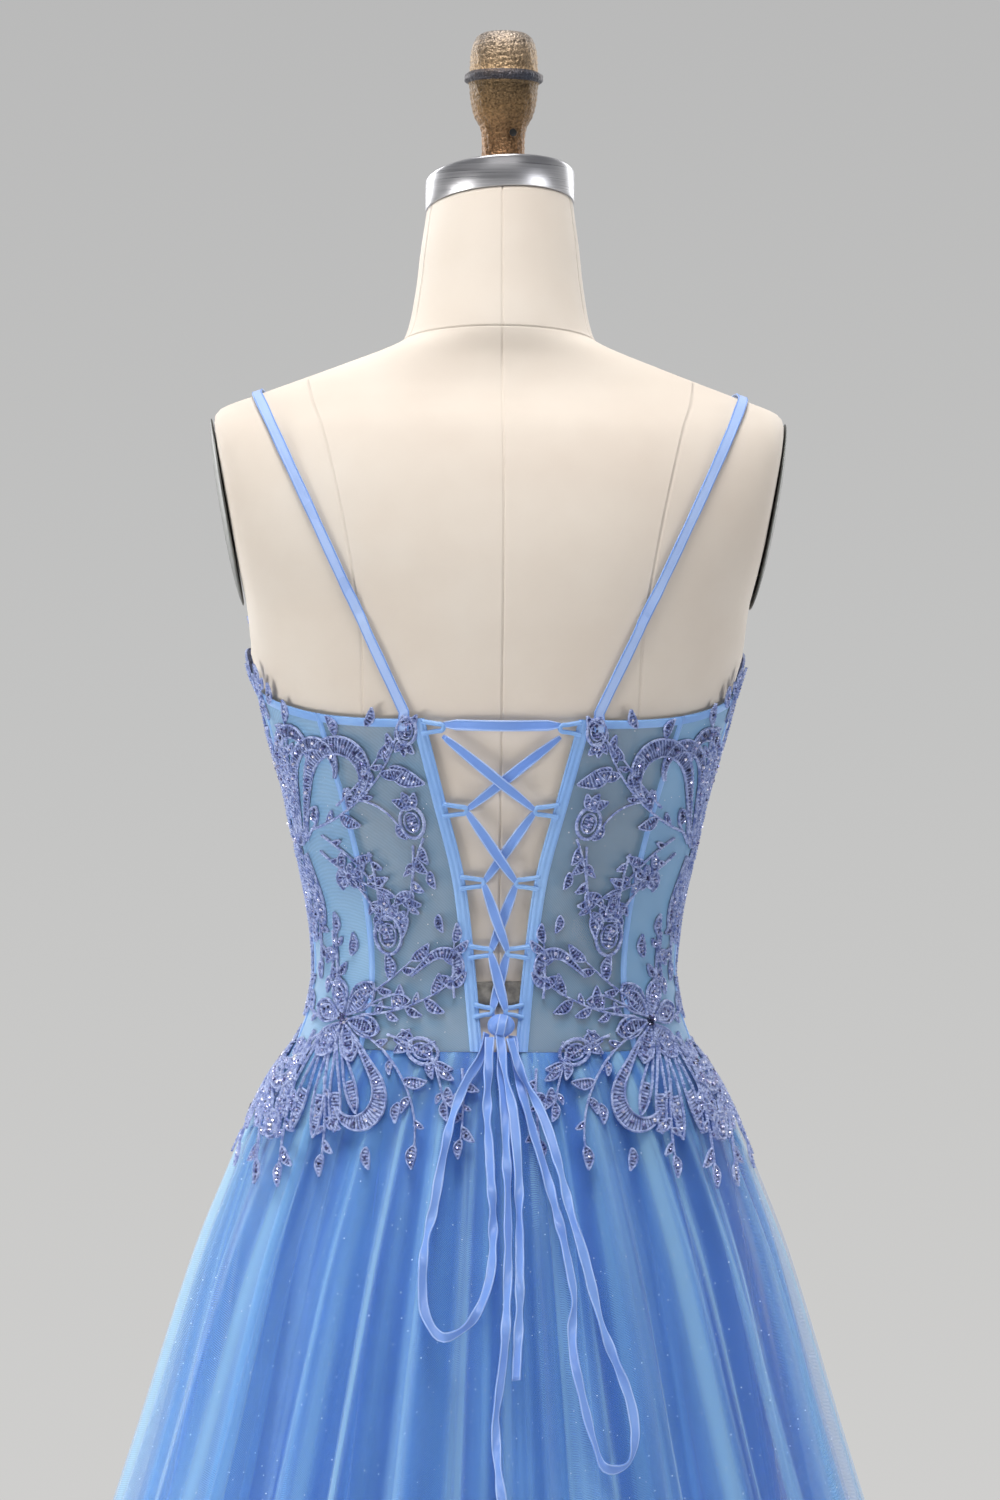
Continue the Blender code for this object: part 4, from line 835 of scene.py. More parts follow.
def make_torso():
    """The form's linen with a groove along each seam and round the neck."""
    top_z = NECK_TOP[2]
    neck_seam = [NECK_SEAM_Z - GROOVE, NECK_SEAM_Z, NECK_SEAM_Z + GROOVE]
    parts = [np.arange(FORM_BOTTOM_Z, 1.440, 0.006), np.arange(1.440, top_z, 0.0024), [top_z], neck_seam]
    heights = np.unique(np.round(np.concatenate(parts), 5))
    rings = []
    for z in heights:
        back_seam = turn_at(min(float(column(PRINCESS, z, 0)), 0.93 * float(column(FORM, z, 0))), z)
        anchors = [0.0, back_seam, math.pi / 2, math.radians(FRONT_SEAM_TURN), math.pi]
        turns, pushes = [], []
        for low, high, inside in zip(anchors, anchors[1:], (14, 12, 12, 12)):
            radius = float(skin_radius(low, z))
            far = float(skin_radius(high, z))
            turns += [low, low + GROOVE / radius, low + 2 * GROOVE / radius]
            pushes += [GROOVE_DEPTH, 0.0, 0.0]
            turns += list(np.linspace(low, high, inside + 2)[1:-1])
            pushes += [0.0] * inside
            turns += [high - 2 * GROOVE / far, high - GROOVE / far]
            pushes += [0.0, 0.0]
        half = np.array(turns)
        turns = np.concatenate([half, [math.pi], -half[:0:-1]])
        pushes = np.concatenate([pushes, [GROOVE_DEPTH], pushes[:0:-1]])
        if abs(z - NECK_SEAM_Z) < 0.0001:
            pushes = pushes + NECK_SEAM_DEPTH
        tilt, centre_y = float(column(FORM, z, 4)), float(column(FORM, z, 5))
        rise = math.tan(math.radians(tilt))
        radius = skin_radius(turns, z) - pushes
        cut = ARM_CUT_X + ARM_CUT_LEAN * (z + radius * np.cos(turns) * rise - ARM_CUT_Z)
        inside_cut = (z > ARM_CUT_FROM) & (np.abs(np.sin(turns)) > 0.3)
        limit = cut / np.maximum(np.abs(np.sin(turns)), 0.01)
        ease = 0.0001 + 0.0050 * min(max((z - ARM_CUT_FROM) / 0.03, 0.0), 1.0)
        radius = np.where(inside_cut, -ease * np.logaddexp(-radius / ease, -limit / ease), radius)
        x, y = radius * np.sin(turns), -radius * np.cos(turns)
        lean = NECK_LEAN * min(max((z - 1.50) / 0.079, 0.0), 1.0)
        rings.append(np.stack([x, y + centre_y, z - y * rise + x * lean], -1))
    rings = np.array(rings)
    return piece("torso_cover", rings, capped_faces(*rings.shape[:2]), [LINEN], ("form_torso",))


torso = make_torso()


def make_form_details():
    turns = np.linspace(-0.22, 0.22, 60)
    heights = np.array([1.0500, 1.0502, 1.0540, 1.0580, 1.0620, 1.0666, 1.0668])
    outs = np.array([0.0001, 0.0011, 0.0013, 0.0010, 0.0014, 0.0012, 0.0001])
    rings = skin(turns[None, :], heights[:, None], outs[:, None])
    rings[..., 2] += 0.0006 * np.sin(3 * turns)[None, :]
    piece("waist_tape", rings, grid_faces(len(heights), len(turns)), [TAPE])
    lean = math.atan(ARM_CUT_LEAN)
    angle = np.linspace(0, math.tau, 64, endpoint=False)
    for word, side in SIDES:
        up = np.array([side * math.sin(lean), 0, math.cos(lean)])
        outward = np.array([side * math.cos(lean), 0, -math.sin(lean)])
        plate_x = ARM_CUT_X + ARM_CUT_LEAN * (ARM_PLATE_Z - ARM_CUT_Z)
        centre = np.array([side * plate_x, 0.004, ARM_PLATE_Z]) + outward * GAP
        rings = []
        for depth, share in ARM_PLATE_ROWS:
            ring = np.cos(angle)[:, None] * np.array([0, ARM_PLATE_DEPTH / 2 * share, 0])
            ring = ring + np.sin(angle)[:, None] * up * ARM_PLATE_HEIGHT / 2 * share
            rings.append(centre + ring + outward * ARM_PLATE_THICK * depth)
        faces = capped_faces(len(rings), len(angle))
        piece(f"arm_plate_{word}", rings, faces, [STEEL], (f"form_arm_plate_{word}",))


make_form_details()


def make_cap_and_finial():
    x, y, z = NECK_TOP
    shares = (
        (0.93, GAP), (0.985, GAP), (1.0, GAP + 0.0006), (1.0, 0.0190), (0.996, 0.0203), (0.985, 0.0211),
        (0.965, 0.0215), (0.60, 0.0215), (0.30, 0.0216),
    )
    rows = [(CAP_RADIUS * share, rise) for share, rise in shares]
    points, faces = lathe(rows, 128, (x, y), CAP_TILT, z)
    points[:, 2] += NECK_LEAN * points[:, 0]
    piece("neck_cap", points, faces, [ALUMINIUM], ("form_neck_cap",))
    heights = np.linspace(FINIAL_ROWS[0][0], FINIAL_TOP_Z, 120)
    radii = column(FINIAL, heights, 0)
    points, faces = lathe(np.stack([radii, heights], -1), 72, (FINIAL_X, y))
    points = points.reshape(len(heights), 72, 3)
    angle = np.linspace(0, math.tau, 72, endpoint=False)
    rises = heights[:, None]
    dents = 0.00035 * np.sin(7 * angle + 900 * rises) * np.sin(11 * angle - 640 * rises)
    points[..., 0] += dents * np.cos(angle)
    points[..., 1] += dents * np.sin(angle)
    points[0, :, 2] -= (points[0, :, 1] - y) * math.tan(math.radians(CAP_TILT))
    piece("finial", points, faces, [GOLD], ("form_finial",))
    hole_rows = [(0.0034, 0.0002), (0.0031, 0.0010), (0.0027, 0.0012), (0.0025, 0.0009), (0.0003, 0.0008)]
    points, faces = lathe(hole_rows, 32)
    radius = float(column(FINIAL, FINIAL_HOLE_Z, 0))
    angle = math.asin(FINIAL_HOLE_X / radius)
    reach = radius + points[:, 2]
    hole_x = FINIAL_X + reach * math.sin(angle) + points[:, 0] * math.cos(angle)
    hole_y = y - reach * math.cos(angle) + points[:, 0] * math.sin(angle)
    points = np.stack([hole_x, hole_y, points[:, 1] + FINIAL_HOLE_Z], -1)
    slots = [0 if face < 2 * 32 else 1 for face in range(4 * 32)] + [0, 1]
    piece("finial_hole", points, faces, [GOLD, HOLE], (), slots)


make_cap_and_finial()


def make_stand():
    points, faces = lathe(BASE_ROWS, 128)
    piece("base_disc", points, faces, [STEEL], ("stand_base",))
    low, top = BASE_TOP_Z + GAP, FORM_BOTTOM_Z - GAP
    socket_top, flange_foot = low + 0.022, top - 2 * FLANGE_HEIGHT
    rows = [
        (0.001, low), (0.0225, low), (0.0225, low + 0.020), (0.0205, socket_top), (POLE_RADIUS, socket_top),
        (POLE_RADIUS, flange_foot), (0.0185, flange_foot), (0.0300, top - 0.0075),
        (FLANGE_RADIUS, top - FLANGE_HEIGHT), (FLANGE_RADIUS, top - 0.0005), (0.0445, top), (0.001, top),
    ]
    points, faces = lathe(rows, 96)
    piece("pole", points, faces, [STEEL], ("stand_pole",))


make_stand()


# Bodice
def opening_turn(share):
    return turn_at(float(column(OPENING, share, 0)), float(bodice_z(0.0, share)))


def seam_turn(share, seam):
    return math.radians(float(column(SEAMS, share, seam)))


def far_front_seam(share):
    return math.tau - seam_turn(share, 2)


def strip(edge_of, low, high, shares, outs, side):
    """Points of a strip of the bodice that runs along an edge, between two distances from it."""
    rows = []
    for share in shares:
        turn = edge_of(share)
        radius = float(skin_radius(turn, bodice_z(turn, share)))
        turns = turn + np.linspace(low, high, len(outs)) / radius
        rows.append(skin(side * turns, bodice_z(turns, share), outs))
    return np.array(rows)


def panel(name, left, right, columns, side, replaced):
    shares = np.linspace(0.0, 1.0, 56)
    rows = []
    for share in shares:
        turns = np.linspace(left(share), right(share), columns)
        rows.append(skin(side * turns, bodice_z(turns, share), NET_OUT))
    look = NET if name.startswith("bodice_back") else NET_SIDE
    piece(name, np.array(rows), grid_faces(len(shares), columns), [look], replaced)


def make_bodice():
    shares = np.linspace(0.0, 1.0, 60)
    half = 0.0023
    for word, side in SIDES:
        lines = [opening_turn] + [partial(seam_turn, seam=seam) for seam in range(3)]
        names = ("bodice_back", "bodice_side_back", "bodice_side_front")
        for place, name in enumerate(names):
            panel(f"{name}_net_{word}", lines[place], lines[place + 1], 40, side, (f"{name}_{word}",))
        outs = NET_OUT + 0.0002 + np.array([0, 5, 8, 6, 3, 7, 9, 6, 0]) * 0.0001
        placket = strip(opening_turn, 0.0, 0.0064, shares, outs, side)
        faces = grid_faces(len(shares), len(outs))
        piece(f"placket_satin_{word}", placket, faces, [SATIN_PALE], (f"placket_{word}",))
        for seam, name in enumerate(("boning_back", "boning_side", "boning_front")):
            outs = NET_OUT - 0.0002 + np.array([0, 4, 9, 11, 12, 11, 9, 4, 0]) * 0.0001
            channel = strip(partial(seam_turn, seam=seam), -half, half, shares, outs, side)
            piece(f"{name}_channel_{word}", channel, faces, [SATIN_PALE], (f"{name}_{word}",))
    panel("bodice_front_net", partial(seam_turn, seam=2), far_front_seam, 90, 1, ("bodice_front",))
    start = opening_turn(1.0)
    turns = np.linspace(start, math.tau - start, 300)
    drops = np.array([0.0, 0.0004, 0.0012, 0.0030, 0.0048, 0.0056])
    outs = NET_OUT + np.array([-8, 3, 6, 6, 5, 2]) * 0.0001
    rows = [skin(turns, top_edge(turns) - drop, out) for drop, out in zip(drops, outs)]
    piece("top_facing", np.array(rows), grid_faces(len(drops), len(turns)), [SATIN_PALE])


make_bodice()


# Skirt
def lining_points(heights, turns):
    fall = ((SEAM_Z - heights) / SEAM_Z)[:, None]
    ripple = 0.0025 * np.sin(17 * turns + 1.0)[None, :] * fall
    grid_turn, grid_z = np.broadcast_arrays(turns[None, :], heights[:, None])
    return surface(lining_radius, grid_turn, grid_z, LINING_OUT - GAP + ripple - 0.0025 * fall)


def make_lining():
    heights = np.concatenate([np.linspace(SEAM_Z - GAP, 0.90, 16), np.linspace(0.885, 0.032, 60)])
    turns = np.linspace(0, math.tau, 288, endpoint=False)
    points = lining_points(heights, turns)
    gores = tuple(f"skirt_lining_{number}" for number in range(1, 5))
    faces = grid_faces(len(heights), len(turns), closed=True)
    skirt = piece("lining_satin", points, faces, [LINING_SATIN], gores)


def make_tulle_layer(name, look, count, seed, inset, share_of_depth, replaced, hem):
    """One gathered layer: folds that lean and overlap, with fine gathers under the seam."""
    folds = np.arange(count)
    widths = 1 + 0.28 * np.sin(2.4 * folds + seed) + 0.14 * np.sin(5.1 * folds + 1 + seed)
    starts = np.concatenate([[0.0], np.cumsum(widths) / widths.sum()]) * math.tau - math.radians(17)
    depths = 0.78 + 0.22 * np.sin(1.9 * folds + 0.6 + seed)
    leans = 0.15 + 0.11 * np.sin(1.3 * folds + 2 * seed)
    leans *= np.where(np.sin(2.7 * folds + seed) > -0.2, 1, -1)
    steps = 14
    heights = np.concatenate([
        np.linspace(SEAM_Z - GAP, 0.93, 30), np.linspace(0.922, 0.70, 34), np.linspace(0.69, hem, 40),
    ])
    u = np.arange(steps) / steps
    rows = []
    for z in heights:
        fall = (SEAM_Z - z) / (SEAM_Z - 0.55)
        ramp = min(1.0, fall * 3.0)
        sway = np.radians(1.1) * np.sin(2.1 * folds + 3.2 * z + seed)
        sway[0] = 0.0
        low = starts[:-1] + sway
        high = starts[1:] + np.append(sway[1:], 0.0)
        lean = leans[:, None] * ramp * (1 - np.cos(math.tau * u))[None, :] * 0.55
        turns = low[:, None] + (high - low)[:, None] * (u[None, :] + lean)
        depth = float(column(TULLE, z, 3)) * share_of_depth
        trough = depth * depths[:, None] * (0.5 - 0.5 * np.cos(math.tau * u))[None, :]
        ripple = np.sin(math.tau * 3 * u[None, :] + 1.7 * folds[:, None])
        small = 0.13 * depth * ripple * np.sin(math.pi * u)[None, :]
        gather = 0.0016 * math.exp(-(SEAM_Z - z) / 0.055) * (0.5 - 0.5 * np.cos(math.tau * 2 * u))[None, :]
        inside = inset * min(1.0, fall * 1.6)
        rows.append(dress(turns.ravel(), z, -(trough + np.abs(small) + gather).ravel() - inside - 0.0001))
    faces = grid_faces(len(heights), count * steps, closed=True)
    made = piece(name, np.array(rows), faces, [look], replaced)


make_lining()
TULLE_NODES = tuple(f"skirt_tulle_{number}" for number in range(1, 7))
make_tulle_layer("tulle_outer", TULLE_LOOKS[0], 30, 0.0, 0.0, 1.0, TULLE_NODES, 0.016)
make_tulle_layer("tulle_middle", TULLE_LOOKS[1], 34, 2.0, 0.016, 0.9, (), 0.022)
make_tulle_layer("tulle_inner", TULLE_LOOKS[2], 27, 4.1, 0.034, 0.8, (), 0.028)


# Straps
def make_straps():
    tree = BVHTree.FromObject(torso, bpy.context.evaluated_depsgraph_get())
    low = math.pi - math.atan2(float(top_edge(0.0)) + 0.0008 - STRAP_AXIS_Z, STRAP_BACK_Y)
    front_z = float(top_edge(math.radians(STRAP_FRONT_TURN))) + 0.0008
    high = math.atan2(front_z - STRAP_AXIS_Z, STRAP_FRONT_Y)
    for word, side in SIDES:
        spots, normals = [], []
        for share in np.linspace(0, 1, 121):
            angle = low + (high - low) * share
            inward = Vector((0, -math.cos(angle), -math.sin(angle)))
            z = STRAP_AXIS_Z
            for _ in range(5):
                if share < STRAP_TOP_SHARE:
                    x = min(STRAP_BACK_X + STRAP_LEAN * (z - float(top_edge(0.0))), STRAP_TOP_X)
                else:
                    fall = (share - STRAP_TOP_SHARE) / (1 - STRAP_TOP_SHARE)
                    x = STRAP_TOP_X + (STRAP_FRONT_X - STRAP_TOP_X) * fall * fall * (3 - 2 * fall)
                start = Vector((side * x, 0, STRAP_AXIS_Z)) - inward * 0.4
                spot, normal, _, _ = tree.ray_cast(start, inward)
                z = spot.z
            spots.append(tuple(spot))
            normals.append(tuple(normal))
        spots, normals = np.array(spots), np.array(normals)
        kernel = np.ones(7) / 7
        padded = np.pad(normals, ((3, 3), (0, 0)), mode="edge")
        outward = unit(np.stack([np.convolve(padded[:, axis], kernel, "valid") for axis in range(3)], -1))
        middles = spots + outward * STRAP_LIFT
        start = middles[0] - np.array([0, 0, STRAP_TUCK]) + outward[0] * 0.0018
        middles = np.concatenate([[start], middles])
        outward = np.concatenate([outward[:1], outward])
        middles_even = even_points(middles, 0.0025)
        keys = np.linspace(0, 1, len(middles))
        places = np.linspace(0, 1, len(middles_even))
        outward = unit(np.stack([np.interp(places, keys, outward[:, axis]) for axis in range(3)], -1))
        widths = STRAP_WIDTH + 0.0002 * np.sin(np.arange(len(places)) * 0.4)
        # The straps' middles take the painted highlight and their rolled edges the plain satin
        flat_ribbon(f"strap_satin_{word}", middles_even, outward, widths, np.zeros(len(places)), STRAP_THICK,
                    (f"strap_{word}",), [SATIN_HIGHLIGHT, SATIN], 0.0004)


make_straps()


# Lacing
def lacing_point(x, z, out):
    return skin(turn_at(x, z), z, out)


def half_gap(z):
    return float(column(OPENING, (z - SEAM_Z) / (float(top_edge(0.0)) - SEAM_Z), 0))


def tube(points, radius, sides=10):
    """Points and faces of a round tube."""
    along = directions(points)
    guide = np.array([0.0, -1.0, 0.0])
    side = unit(np.cross(along, guide))
    upward = unit(np.cross(side, along))
    angle = np.linspace(0, math.tau, sides, endpoint=False)
    profile = np.stack([np.cos(angle), np.sin(angle)], -1) * radius
    return swept(points, side, upward, np.broadcast_to(profile, (len(points), sides, 2)))


def make_loops():
    for word, side in SIDES:
        all_points, all_faces = [], []
        for z, tip in LOOP_ROWS:
            root = half_gap(z) + 0.0015
            half_loop = [
                (root, 0.0040, 0.0040), (root - 0.0020, 0.0036, 0.0043), (tip + 0.0045, 0.0024, 0.0044),
                (tip + 0.0010, 0.0020, 0.0046),
            ]
            back_again = [(x, -rise, out) for x, rise, out in half_loop[::-1]]
            rows = half_loop + [(tip - 0.0004, 0.0000, 0.0050)] + back_again
            points = smooth_route([lacing_point(side * x, z + rise, out) for x, rise, out in rows], 0.0009)
            spots, faces = tube(points, LOOP_CORD_RADIUS)
            start = sum(len(block) for block in all_points)
            all_points.append(spots)
            all_faces += [[start + index for index in face] for face in faces]
        shares = np.linspace(0.0, 1.0, 50)
        outs = 0.0036 + np.array([0, 4, 6, 4, 0]) * 0.0001
        tape = strip(opening_turn, -0.0016, 0.0004, shares, outs, side)
        start = sum(len(block) for block in all_points)
        all_points.append(tape.reshape(-1, 3))
        all_faces += grid_faces(len(shares), len(outs), start=start).tolist()
        piece(f"loops_{word}", np.concatenate(all_points), all_faces, [SATIN_PALE], (f"lacing_loops_{word}",))


def strand(start, end, over):
    """Places and widths of the ribbon from one loop to the next, pinched in both loops."""
    rows = []
    for share in np.arange(STRAND_STEPS) / STRAND_STEPS:
        swell = math.sin(math.pi * share)
        level = LACE_LEVEL + (CROSS_RISE * swell ** 0.4 if over else 0.0)
        x = start[0] + (end[0] - start[0]) * share
        z = start[1] + (end[1] - start[1]) * share
        width = PINCHED_WIDTH + (RIBBON_WIDTH - PINCHED_WIDTH) * swell ** 0.55
        rows.append((lacing_point(x, z, level), width))
    return rows


def make_lacing():
    for word, first_side in (("a", -1), ("b", 1)):
        side, tips, rows = first_side, [], []
        for z, tip in LOOP_ROWS:
            tips.append((side * tip, z if tips else z - 0.0055))
            side = -side
        for start, end in zip(tips, tips[1:]):
            rows += strand(start, end, start[0] < end[0])
        last = 1 if tips[-1][0] > 0 else -1
        rows.append((lacing_point(*tips[-1], LACE_LEVEL), PINCHED_WIDTH))
        rows.append((lacing_point(last * 0.0030, 1.0430, LACE_LEVEL), 0.0028))
        points = np.array([row[0] for row in rows])
        widths = np.array([row[1] for row in rows])
        outward = unit(points * np.array([0.6, 1.0, 0.0]))
        twists = 14 * np.sin(np.arange(len(points)) * 0.37 + first_side)
        flat_ribbon(f"lacing_{word}", points, outward, widths, twists, RIBBON_THICK,
                    (f"lacing_ribbon_{word}",), RIBBON_LOOKS, 0.0003)
    top_z, tip = LOOP_ROWS[0]
    shares = np.linspace(0, 1, 46)
    rises = [top_z + 0.002 - 0.0006 * math.sin(math.pi * share) for share in shares]
    points = np.array([lacing_point(tip * (2 * share - 1), z, LACE_LEVEL) for share, z in zip(shares, rises)])
    widths = 0.0032 + (RIBBON_WIDTH - 0.0032) * np.minimum(1, 3 * np.sin(math.pi * shares))
    outward = unit(points * np.array([0.6, 1.0, 0.0]))
    flat_ribbon("lacing_bar_satin", points, outward, widths, 8 * np.sin(shares * 9), RIBBON_THICK,
                ("lacing_bar",), RIBBON_LOOKS, 0.0003)


def make_knot():
    centre = lacing_point(0.001, KNOT_Z, KNOT_OUT)
    wide, tall, deep = KNOT_SIZE
    polar = np.linspace(0.05, math.pi - 0.05, 26)
    angle = np.linspace(0, math.tau, 48, endpoint=False)
    pleat = 1 + 0.07 * np.cos(9 * angle[None, :] + 2.0 * np.cos(polar)[:, None]) * np.sin(polar)[:, None]
    out = np.sin(polar)[:, None] * pleat
    x = wide * out * np.cos(angle)
    y = deep * out * np.sin(angle)
    z = -tall * np.cos(polar)[:, None] + 0.0008 * np.cos(2 * angle)[None, :]
    points = (np.stack([x, y, z], -1) + centre).reshape(-1, 3)
    piece("knot_satin", points, capped_faces(len(polar), len(angle)), [SATIN], ("bow_knot",))
    share = np.linspace(-1.15, 1.15, 25)
    band_y, band_z = -np.cos(share) * (deep + 0.0008), np.sin(share) * (tall + 0.0006)
    band = centre + np.stack([0.0016 * share, band_y, band_z], -1)
    outward = unit((band - centre) * np.array([0.2, 1.0, 1.0]))
    twists = 10 * np.sin(np.arange(25) * 0.5)
    widths = np.full(25, 0.0058)
    flat_ribbon("knot_band", band, outward, widths, twists, RIBBON_THICK, (), RIBBON_LOOKS, 0.0006)


make_loops()
make_lacing()
make_knot()


# Lace: motifs laid out flat along the cloth, s outwards from the centre back and z up, then moved onto it
# Headings are in degrees: 0 outwards, 90 up, 180 towards the lacing
CORD_WIDE = 0.0012
CORD_TALL = 0.0016
LACE_STEP = 0.0011
CORD_SECTION = ((-1.0, 0.0), (-0.6, 0.78), (0.0, 1.0), (0.6, 0.78), (1.0, 0.0))
BAND_SECTION = ((-1.0, 0.3), (-0.5, 0.9), (0.0, 1.0), (0.5, 0.9), (1.0, 0.3))
# Slots: the lighter thread of cords and stitches, the painted shade of the gaps between stitches, the beads
CORD_SLOT, GAP_SHADE_SLOT, BEAD_SLOT = 0, 1, 2
# Sprigs: s, z, heading, length, bend, leaves, leaf length
# Canes: s, z, heading, length, curl, width
# Loops: s, z, heading, length, bend, width
# Flowers: s, z, turn, size, petals
# Buds: s, z, heading, size
# Leaves: s, z, heading, length
LACE_UPPER = {
    "sprigs": (
        (0.136, 1.164, 168, 0.094, -62, 8, 0.0165),
        (0.126, 1.160, 204, 0.060, 30, 6, 0.0155),
        (0.096, 1.184, 186, 0.033, 48, 1, 0.0120),
        (0.057, 1.155, 268, 0.047, 14, 6, 0.0140),
        (0.050, 1.160, 292, 0.036, -20, 4, 0.0120),
        (0.100, 1.131, 222, 0.034, 18, 1, 0.0120),
        (0.150, 1.160, 60, 0.060, 30, 6, 0.0140),
        (0.146, 1.140, 275, 0.052, 20, 5, 0.0140),
        (0.076, 1.214, 122, 0.020, 10, 2, 0.0130),
        (0.119, 1.098, 262, 0.030, 26, 4, 0.0120),
        (0.112, 1.180, 142, 0.044, -16, 5, 0.0140),
        (0.128, 1.150, 214, 0.070, -18, 7, 0.0145),
        (0.088, 1.150, 250, 0.040, 18, 5, 0.0130),
        (0.136, 1.128, 262, 0.050, 12, 6, 0.0130),
    ),
    "canes": (
        (0.145, 1.156, 101, 0.128, 226, 0.0115),
        (0.150, 1.160, 86, 0.106, 205, 0.0080),
        (0.156, 1.160, 68, 0.098, -170, 0.0080),
    ),
    "loops": (
        (0.145, 1.148, 246, 0.050, 8, 0.0080),
        (0.147, 1.147, 262, 0.058, 10, 0.0080),
        (0.150, 1.147, 280, 0.060, -6, 0.0080),
        (0.143, 1.156, 118, 0.026, 0, 0.0100),
        (0.158, 1.156, 84, 0.062, 6, 0.0070),
    ),
    "flowers": ((0.102, 1.134, 20, 0.0085, 5),),
    "buds": ((0.058, 1.170, 250, 0.0105), (0.074, 1.096, 262, 0.0125), (0.062, 1.229, 95, 0.0085)),
    "leaves": (
        (0.073, 1.206, 205, 0.026), (0.102, 1.082, 95, 0.015), (0.062, 1.112, 300, 0.013),
        (0.046, 1.138, 250, 0.012),
        (0.040, 1.110, 255, 0.012), (0.112, 1.226, 60, 0.014), (0.090, 1.232, 110, 0.013),
    ),
}
LACE_HIP = {
    "sprigs": (
        (0.098, 1.051, 152, 0.050, -16, 5, 0.0160),
        (0.094, 1.044, 178, 0.064, -34, 8, 0.0160),
        (0.029, 1.056, 84, 0.036, 12, 5, 0.0130),
        (0.074, 1.032, 196, 0.040, 26, 5, 0.0130),
        (0.095, 1.034, 206, 0.086, 72, 6, 0.0150),
        (0.116, 1.052, 96, 0.044, -12, 5, 0.0140),
        (0.128, 1.040, 12, 0.052, 20, 6, 0.0140),
        (0.130, 1.030, 334, 0.066, -24, 7, 0.0150),
        (0.120, 1.004, 262, 0.048, 16, 6, 0.0140),
        (0.146, 1.004, 286, 0.056, -14, 6, 0.0150),
        (0.024, 1.012, 266, 0.044, 12, 6, 0.0120),
        (0.044, 1.020, 250, 0.030, 10, 3, 0.0120),
    ),
    "canes": (
        (0.058, 1.070, 138, 0.054, 215, 0.0075),
        (0.099, 1.031, 236, 0.088, 196, 0.0105),
        (0.136, 1.032, 300, 0.080, 170, 0.0080),
    ),
    "loops": (
        (0.110, 1.030, 250, 0.050, 6, 0.0080),
        (0.113, 1.030, 266, 0.060, 4, 0.0085),
        (0.117, 1.031, 281, 0.066, -4, 0.0085),
        (0.121, 1.032, 296, 0.068, -8, 0.0085),
        (0.090, 1.050, 168, 0.032, 10, 0.0090),
        (0.124, 1.034, 313, 0.066, -12, 0.0080),
    ),
    "flowers": ((0.107, 1.041, 14, 0.0270, 6), (0.152, 1.014, 40, 0.0100, 5)),
    "buds": ((0.050, 1.022, 200, 0.0105), (0.166, 0.972, 300, 0.0090)),
    "leaves": (
        (0.034, 1.000, 250, 0.014), (0.066, 0.990, 280, 0.013), (0.088, 0.962, 262, 0.014),
        (0.160, 1.050, 40, 0.014),
    ),
}
LACE_SIDE = {
    "sprigs": (
        (0.190, 1.090, 88, 0.080, -8, 9, 0.0150),
        (0.196, 1.180, 84, 0.058, 16, 7, 0.0150),
        (0.180, 1.236, 60, 0.026, 20, 3, 0.0120),
        (0.168, 1.176, 112, 0.060, -24, 6, 0.0140),
        (0.166, 1.140, 292, 0.060, -26, 6, 0.0140),
        (0.162, 1.092, 300, 0.040, -40, 4, 0.0130),
        (0.170, 1.070, 76, 0.050, 14, 5, 0.0130),
    ),
    "canes": ((0.186, 1.150, 268, 0.080, 180, 0.0080), (0.172, 1.170, 84, 0.098, 190, 0.0085)),
    "loops": (
        (0.190, 1.150, 100, 0.044, 6, 0.0075),
        (0.192, 1.150, 80, 0.044, -6, 0.0075),
        (0.164, 1.150, 250, 0.046, 6, 0.0075),
        (0.168, 1.150, 272, 0.048, -4, 0.0075),
    ),
    "flowers": ((0.192, 1.166, 0, 0.0120, 5), (0.160, 1.156, 30, 0.0130, 5)),
    "buds": (),
    "leaves": (
        (0.172, 1.200, 120, 0.014), (0.210, 1.120, 60, 0.014), (0.176, 1.246, 100, 0.014),
        (0.196, 1.252, 80, 0.014),
    ),
}
LACE_CUP = {
    "sprigs": (
        (0.300, 1.236, 100, 0.060, 20, 7, 0.0150),
        (0.285, 1.228, 160, 0.060, -30, 6, 0.0150),
        (0.320, 1.230, 30, 0.066, 30, 7, 0.0150),
        (0.330, 1.260, 20, 0.040, 20, 4, 0.0140),
    ),
    "canes": ((0.290, 1.246, 120, 0.080, 200, 0.0090), (0.312, 1.244, 66, 0.080, -200, 0.0090)),
    "loops": (),
    "flowers": ((0.303, 1.222, 10, 0.0200, 6),),
    "buds": ((0.345, 1.288, 40, 0.0090),),
    "leaves": (),
}


def bead_corners():
    """The twelve corners of a cut bead."""
    corners = []
    for first in (-1, 1):
        for second in (-GOLDEN, GOLDEN):
            corners += [(0, first, second), (first, second, 0), (second, 0, first)]
    return np.array(corners, float)


def bead_faces(corners):
    """The twenty faces of a cut bead, found from the nearest corners of its solid."""
    faces = []
    for trio in itertools.combinations(range(len(corners)), 3):
        a, b, c = corners[list(trio)]
        if max(np.linalg.norm(p - q) for p, q in ((a, b), (b, c), (a, c))) < 2.01:
            outward = np.cross(b - a, c - a) @ (a + b + c) > 0
            faces.append(trio if outward else (trio[0], trio[2], trio[1]))
    return faces


GOLDEN = (1 + math.sqrt(5)) / 2
BEAD_CORNERS = bead_corners()
BEAD_FACES = bead_faces(BEAD_CORNERS)


def heading_lines(heading):
    """The direction along a heading in degrees and the one across it."""
    angle = math.radians(heading)
    along = np.array([math.cos(angle), math.sin(angle)])
    return along, np.array([-along[1], along[0]])


def flat_side(points):
    """The direction across a flat path at each of its points."""
    along = directions(points)
    return np.stack([-along[:, 1], along[:, 0]], -1)


def bent_path(s, z, heading, length, bends):
    """A path from s, z with a bend in degrees for each point, and its headings."""
    angles = np.radians(heading + bends)
    steps = np.stack([np.cos(angles), np.sin(angles)], -1) * length / (len(bends) - 1)
    return np.array([s, z]) + np.concatenate([[[0, 0]], np.cumsum(steps[:-1], axis=0)]), angles


